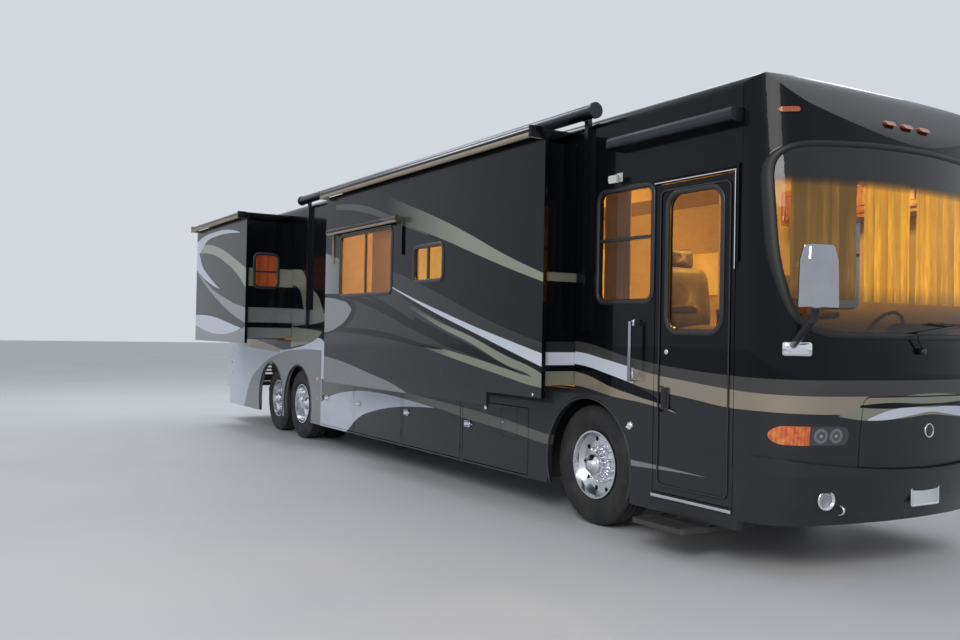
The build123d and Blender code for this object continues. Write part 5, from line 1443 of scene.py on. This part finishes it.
class MOTORHOME_OT_blinds(MotorhomeStep, bpy.types.Operator):
    """Hang slatted blinds and side curtains behind the side windows"""

    bl_idname = "motorhome.blinds"
    bl_label = "Blinds"

    pitch = 0.021

    def execute(self, context):
        for name, body, side, out, (x0, x1, z0, z1), corner, bars, blind in WINDOWS:
            if blind:
                half = (x1 - x0) / 2 + 0.03
                slat = self.slat(half, 0)
                count = int((z1 - z0 + 0.06) / self.pitch)
                spot = ((x0 + x1) / 2, side * (out - 0.075), z0 - 0.025)
                copies(f"{name}_blind", slat, body, blind, count, [spot], step=(0.0, 0.0, self.pitch))
        copies("bedroom_blind", self.slat(0.17, 1), "rear_slide_room", "red_cloth", 23,
               [(BEDROOM_WALL_X - 0.075, BEDROOM_Y, BEDROOM_Z - 0.235)], step=(0.0, 0.0, self.pitch))
        for side, word in ((-1, "passenger"), (1, "driver")):
            form = Form()

            def side_on(deep, along, z, way=side):
                """A point of a curtain that hangs along the side."""
                return Vector((along, way * deep, z))

            flat = drape(form, "brown_cloth", 4.3, 4.62, 1.86, 2.84, SIDE_Y - 0.1, 6, 0.016, put=side_on)
            piece = form.done(f"{word}_curtain", "coach", weld=False)
        return {"FINISHED"}

    def slat(self, half, axis):
        """One slat, crowned and tilted, along x or y."""
        angles = [math.tau * i / 10 for i in range(10)]
        section = [(0.0115 * math.cos(a), 0.0025 * math.sin(a)) for a in angles]
        tilt = math.radians(62)
        rings = []
        for end in (-half, half):
            ring = []
            for a, b in section:
                over = a * math.cos(tilt) - (b + 30 * a * a) * math.sin(tilt) * 0.5
                up = a * math.sin(tilt) + (b + 30 * a * a) * math.cos(tilt) * 0.5
                ring.append(Vector((end, over, up)) if axis == 0 else Vector((over, end, up)))
            rings.append(ring)
        return pattern(lambda form: form.skin(rings, "chrome"))


def bar(length, axis, wide=0.006, tall=0.004):
    """A slim bar with softened edges, along x or y, to be copied."""
    half = (length / 2, wide, tall) if axis == 0 else (wide, length / 2, tall)
    return pattern(lambda form: form.block([-h for h in half], half, "trim", 0.002))


class MOTORHOME_OT_roof_and_step(MotorhomeStep, bpy.types.Operator):
    """Put louvres on the air conditioners, ribs on the vents and grips on the step"""

    bl_idname = "motorhome.roof_and_step"
    bl_label = "Roof and step"

    units = (-3.6, 1.5)
    vents = ((-1.6, 0.35), (-5.0, -0.3), (3.3, 0.3))

    def execute(self, context):
        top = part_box("roof_units")[1].z
        sides = [(x, y, top - 0.22) for x in self.units for y in (-0.381, 0.381)]
        copies("unit_side_louvres", bar(0.74, 0), "coach", "trim", 6, sides, step=(0.0, 0.0, 0.022))
        ends = [(x + end, 0.0, top - 0.22) for x in self.units for end in (-0.526, 0.526)]
        copies("unit_end_louvres", bar(0.5, 1), "coach", "trim", 6, ends, step=(0.0, 0.0, 0.022))
        skin = surface_of("roof_units")
        down = Vector((0.0, 0.0, -1.0))
        ribs = []
        for x, y in self.vents:
            hit = skin.ray_cast(Vector((x, y, 5.0)), down)[0]
            ribs.append((x, y - 0.14, hit.z + 0.002))
        copies("vent_ribs", bar(0.34, 0, 0.01, 0.006), "coach", "white_plastic", 5, ribs,
               step=(0.0, 0.07, 0.0))
        low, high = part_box("entry_step")
        middle = (low.x + high.x) / 2
        hit = surface_of("entry_step").ray_cast(Vector((middle, low.y + 0.08, 2.0)), down)[0]
        copies("step_grips", bar(0.44, 0, 0.007, 0.003), "step", "rubber", 6,
               [(middle, low.y + 0.03, hit.z + 0.001)], step=(0.0, 0.028, 0.0))
        self.cabinet_doors()
        return {"FINISHED"}

    def cabinet_doors(self):
        """Framed doors with knobs on the cabinets over the driver."""
        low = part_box("cabinets")[0]
        form = Form()
        section = [(-0.022, 0.0), (-0.022, 0.009), (-0.014, 0.014), (-0.004, 0.014), (0.0, 0.009), (0.0, 0.0)]
        for i in range(4):
            x0 = low.x + 0.03 + 0.365 * i
            form.rim(outline(x0, x0 + 0.345, low.z + 0.03, low.z + 0.29, 0.012, 3), section,
                     lambda u, v, w: Vector((u, 0.86 - w, v)), "cherry")
            form.block((x0 + 0.07, 0.852, low.z + 0.095), (x0 + 0.275, 0.862, low.z + 0.225), "cherry", 0.006)
            form.turned([(0.006, 0.0), (0.006, 0.012), (0.013, 0.018), (0.011, 0.026), (0.0, 0.028)],
                        (x0 + 0.32, 0.85, low.z + 0.16), (0, -1, 0), "chrome", 16)
        form.done("cabinet_doors", "coach")


class MOTORHOME_OT_seats(MotorhomeStep, bpy.types.Operator):
    """Upholster the driver's and passenger's chairs"""

    bl_idname = "motorhome.seats"
    bl_label = "Cab seats"

    def execute(self, context):
        low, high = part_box("cab_seats")
        for side, word in ((-1, "passenger"), (1, "driver")):
            y = side * (high.y - 0.3)
            pad = self.pads(word, low.x, y)
            self.base(word, low.x, y, low.z)
        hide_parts("cab_seats")
        return {"FINISHED"}

    def pads(self, word, x, y):
        """Seat, back, headrest and armrests of the chair whose back begins at x."""
        form = Form()
        cushion(form, (x + 0.42, y - 0.27, 1.55), (x + 1.0, y + 0.27, 1.71), 0.2)
        cushion(form, (x + 0.26, y - 0.26, 1.66), (x + 0.44, y + 0.26, 2.22), 0.12, lean=-0.12)
        cushion(form, (x + 0.17, y - 0.15, 2.2), (x + 0.3, y + 0.15, 2.37), 0.15)
        for edge in (-1, 1):
            arm = y + edge * 0.3
            cushion(form, (x + 0.4, arm - 0.035, 1.8), (x + 0.78, arm + 0.035, 1.87), 0.15)
        return form.done(f"{word}_pads", "coach", weld=False)

    def base(self, word, x, y, floor):
        """Pan, pedestal, and the posts of the armrests and the headrest."""
        form = Form()
        form.block((x + 0.45, y - 0.24, 1.5), (x + 0.95, y + 0.24, 1.56), "plastic", 0.012)
        pedestal = [(0.2, 0.0), (0.2, 0.02), (0.09, 0.05), (0.08, 0.3), (0.15, 0.33), (0.15, 0.36)]
        form.turned(pedestal, (x + 0.7, y, floor), (0, 0, 1), "trim", 32)
        for edge in (-1, 1):
            arm, post = y + edge * 0.3, y + edge * 0.07
            form.tube([(x + 0.42, arm, 1.62), (x + 0.42, arm, 1.82)], 0.014, "trim")
            form.tube([(x + 0.25, post, 2.16), (x + 0.24, post, 2.24)], 0.007, "chrome")
        form.done(f"{word}_seat_frame", "coach")


def cushion(form, low, high, crown, lean=0.0):
    """A crowned pad with rounded corners, sides drawn in between them, and a stitched channel each way."""
    low, high = Vector(low), Vector(high)
    middle, half = (low + high) / 2, (high - low) / 2
    rows, columns = 20, 36
    thin = min(range(3), key=lambda i: half[i])
    rings = []
    for r in range(rows + 1):
        tilt = math.pi * (r / rows - 0.5)
        ring = []
        for c in range(columns):
            turn = math.tau * c / columns
            parts = (math.cos(tilt) * math.cos(turn), math.cos(tilt) * math.sin(turn), math.sin(tilt))
            flat = [math.copysign(abs(p) ** 0.42, p) for p in parts]
            order = [i for i in range(3) if i != thin]
            point = [0.0, 0.0, 0.0]
            u, v, w = flat[0], flat[1], flat[2]
            point[order[0]] = u * (1.0 - 0.05 * (1.0 - v * v) * (1.0 - w * w))
            point[order[1]] = v * (1.0 - 0.05 * (1.0 - u * u) * (1.0 - w * w))
            swell = 1.0 - crown + crown * (1.0 - u * u) * (1.0 - v * v) * 2.0
            channel = sum(math.exp(-((u - s) / 0.05) ** 2) for s in (-0.45, 0.0, 0.45))
            point[thin] = w * (swell - 0.12 * channel)
            spot = middle + Vector(p * h for p, h in zip(point, half))
            spot.x += lean * (spot.z - low.z)
            ring.append(spot)
        rings.append(ring)
    form.skin(rings, "leather")


class MOTORHOME_OT_toppers(MotorhomeStep, bpy.types.Operator):
    """Stretch the fabric over each slide-out room"""

    bl_idname = "motorhome.toppers"
    bl_label = "Slide-out toppers"

    def execute(self, context):
        for word in ("main_slide", "rear_slide", "left_slide"):
            low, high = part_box(f"{word}_topper")
            side = 1 if low.y > 0 else -1
            end = abs(low.y if side < 0 else high.y)
            form = Form()
            rows, columns = 12, 40
            grid = []
            for r in range(rows + 1):
                share = r / rows
                y = side * (end * share + SIDE_Y * (1 - share))
                line = []
                for c in range(columns + 1):
                    x = low.x + (high.x - low.x) * c / columns
                    sag = 0.012 * math.sin(math.pi * share) * (0.8 + 0.2 * math.sin(7.0 * x))
                    line.append(Vector((x, y, high.z - 0.001 - sag * 0.2)))
                grid.append(line)
            form.skin(grid, "vinyl", open_ring=True)
            piece = form.done(f"{word}_fabric", "coach", weld=False)
            piece.parent = None
            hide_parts(f"{word}_topper")
            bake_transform(piece)
        return {"FINISHED"}


class MOTORHOME_OT_stage(MotorhomeStep, bpy.types.Operator):
    """Set up the floor, the soft lights, the lamps inside and the photograph's camera"""

    bl_idname = "motorhome.stage"
    bl_label = "Stage"

    def execute(self, context):
        self.floor()
        self.world()
        self.lights()
        self.camera()
        context.scene.view_settings.view_transform = "Standard"
        return {"FINISHED"}

    def floor(self):
        """A wide pale floor just under the tyres."""
        shade = Shade("studio_floor")
        cloud = shade.noise(shade.place()[0], 0.4, 3.0)
        tone = shade.mix(shade.span(cloud, 0.3, 0.7), (0.68, 0.69, 0.71), (0.72, 0.73, 0.75))
        material = shade.surface({"Base Color": tone, "Roughness": 0.55, "Specular IOR Level": 0.3})
        data = bpy.data.meshes.new("studio_floor")
        reach = 90.0
        corners = [(-reach, -reach, 0), (reach, -reach, 0), (reach, reach, 0), (-reach, reach, 0)]
        data.from_pydata(corners, [], [(0, 1, 2, 3)])
        data.materials.append(material)
        floor = bpy.data.objects.new("studio_floor", data)
        bpy.context.scene.collection.objects.link(floor)

    def world(self):
        """Plain pale surroundings, paler to the camera, paint and glass than to the floor."""
        world = bpy.data.worlds.new("studio")
        bpy.context.scene.world = world
        world.use_nodes = True
        tree = world.node_tree
        tree.nodes.clear()
        rays = tree.nodes.new("ShaderNodeLightPath").outputs
        seen = rays["Is Camera Ray"]
        for kind in ("Is Glossy Ray", "Is Transmission Ray"):
            either = tree.nodes.new("ShaderNodeMath")
            either.operation = "MAXIMUM"
            tree.links.new(seen, either.inputs[0])
            tree.links.new(rays[kind], either.inputs[1])
            seen = either.outputs[0]
        shades = []
        for strength in (0.5, 0.78):
            shade = tree.nodes.new("ShaderNodeBackground")
            shade.inputs["Color"].default_value = (0.84, 0.88, 0.95, 1.0)
            shade.inputs["Strength"].default_value = strength
            shades.append(shade.outputs[0])
        mix = tree.nodes.new("ShaderNodeMixShader")
        out = tree.nodes.new("ShaderNodeOutputWorld")
        for socket, source in ((mix.inputs[0], seen), (mix.inputs[1], shades[0]), (mix.inputs[2], shades[1]),
                               (out.inputs["Surface"], mix.outputs[0])):
            tree.links.new(source, socket)

    def lights(self):
        """Soft boxes outside, warm lamps inside."""
        table = [
            ("key", "AREA", (13.0, -12.0, 9.0), (2.5, 0.0, 1.2), 750.0, 6.0, (1.0, 0.98, 0.95)),
            ("fill", "AREA", (-6.0, 13.0, 10.0), (0.0, 0.0, 1.5), 500.0, 8.0, (0.92, 0.96, 1.0)),
            ("rear", "AREA", (-10.0, -3.0, 12.0), (-4.0, 0.0, 1.5), 450.0, 5.0, (0.95, 0.97, 1.0)),
            ("cab_lamp", "POINT", (5.0, 0.0, 3.0), None, 130.0, 0.12, (1.0, 0.56, 0.1)),
            ("lounge_lamp", "POINT", (1.2, -0.2, 3.0), None, 200.0, 0.2, (1.0, 0.46, 0.08)),
            ("bed_lamp", "POINT", (-4.6, -0.4, 3.0), None, 60.0, 0.15, (1.0, 0.45, 0.12)),
        ]
        for name, kind, place, aim, power, size, colour in table:
            data = bpy.data.lights.new(name, kind)
            data.energy = power
            data.color = colour
            if kind == "AREA":
                data.size = size
            else:
                data.shadow_soft_size = size
            lamp = bpy.data.objects.new(name, data)
            lamp.location = place
            lamp.visible_camera = False
            if aim:
                lamp.rotation_euler = (Vector(aim) - Vector(place)).to_track_quat("-Z", "Y").to_euler()
            bpy.context.scene.collection.objects.link(lamp)

    def camera(self):
        """The camera, solved from the photograph's straight edges."""
        yaw, pitch, roll = (math.radians(a) for a in (CAMERA_YAW, CAMERA_PITCH, CAMERA_ROLL))
        ahead = Vector((-math.cos(yaw), math.sin(yaw), 0.0))
        right = Vector((math.sin(yaw), math.cos(yaw), 0.0))
        up = Vector((0.0, 0.0, 1.0))
        look = ahead * math.cos(pitch) + up * math.sin(pitch)
        top = up * math.cos(pitch) - ahead * math.sin(pitch)
        side = right * math.cos(roll) + top * math.sin(roll)
        top = top * math.cos(roll) - right * math.sin(roll)
        data = bpy.data.cameras.new("photo_camera")
        data.lens = CAMERA_LENS
        data.sensor_width = 36.0
        data.clip_end = 400.0
        camera = bpy.data.objects.new("photo_camera", data)
        turn = Matrix((side, top, -look)).transposed()
        camera.matrix_world = Matrix.Translation(CAMERA_PLACE) @ turn.to_4x4()
        bpy.context.scene.collection.objects.link(camera)
        bpy.context.scene.camera = camera


STEPS = [
    MOTORHOME_OT_finishes,
    MOTORHOME_OT_tyres,
    MOTORHOME_OT_wheel_covers,
    MOTORHOME_OT_window_frames,
    MOTORHOME_OT_windshield_trim,
    MOTORHOME_OT_curtains,
    MOTORHOME_OT_blinds,
    MOTORHOME_OT_roof_and_step,
    MOTORHOME_OT_seats,
    MOTORHOME_OT_side_trim,
    MOTORHOME_OT_nose_trim,
    MOTORHOME_OT_toppers,
    MOTORHOME_OT_stage,
]


class MOTORHOME_PT_panel(bpy.types.Panel):
    """Lists the steps and the settings"""

    bl_idname = "MOTORHOME_PT_panel"
    bl_label = "Motorhome"
    bl_space_type = "VIEW_3D"
    bl_region_type = "UI"
    bl_category = "Motorhome"

    def draw(self, context):
        for key in MOTORHOME_PG_settings.__annotations__:
            self.layout.prop(context.scene.motorhome, key)
        for step in STEPS:
            self.layout.operator(step.bl_idname)


CLASSES = [MOTORHOME_PG_settings, *STEPS, MOTORHOME_PT_panel]


def register():
    """Makes the settings, the steps and the panel known."""
    for kind in CLASSES:
        bpy.utils.register_class(kind)
    bpy.types.Scene.motorhome = bpy.props.PointerProperty(type=MOTORHOME_PG_settings)


def unregister():
    """Undoes register."""
    del bpy.types.Scene.motorhome
    for kind in reversed(CLASSES):
        bpy.utils.unregister_class(kind)


def main():
    """Runs every step."""
    register()
    for step in STEPS:
        group, name = step.bl_idname.split(".")
        getattr(getattr(bpy.ops, group), name)()


if __name__ == "__main__":
    main()
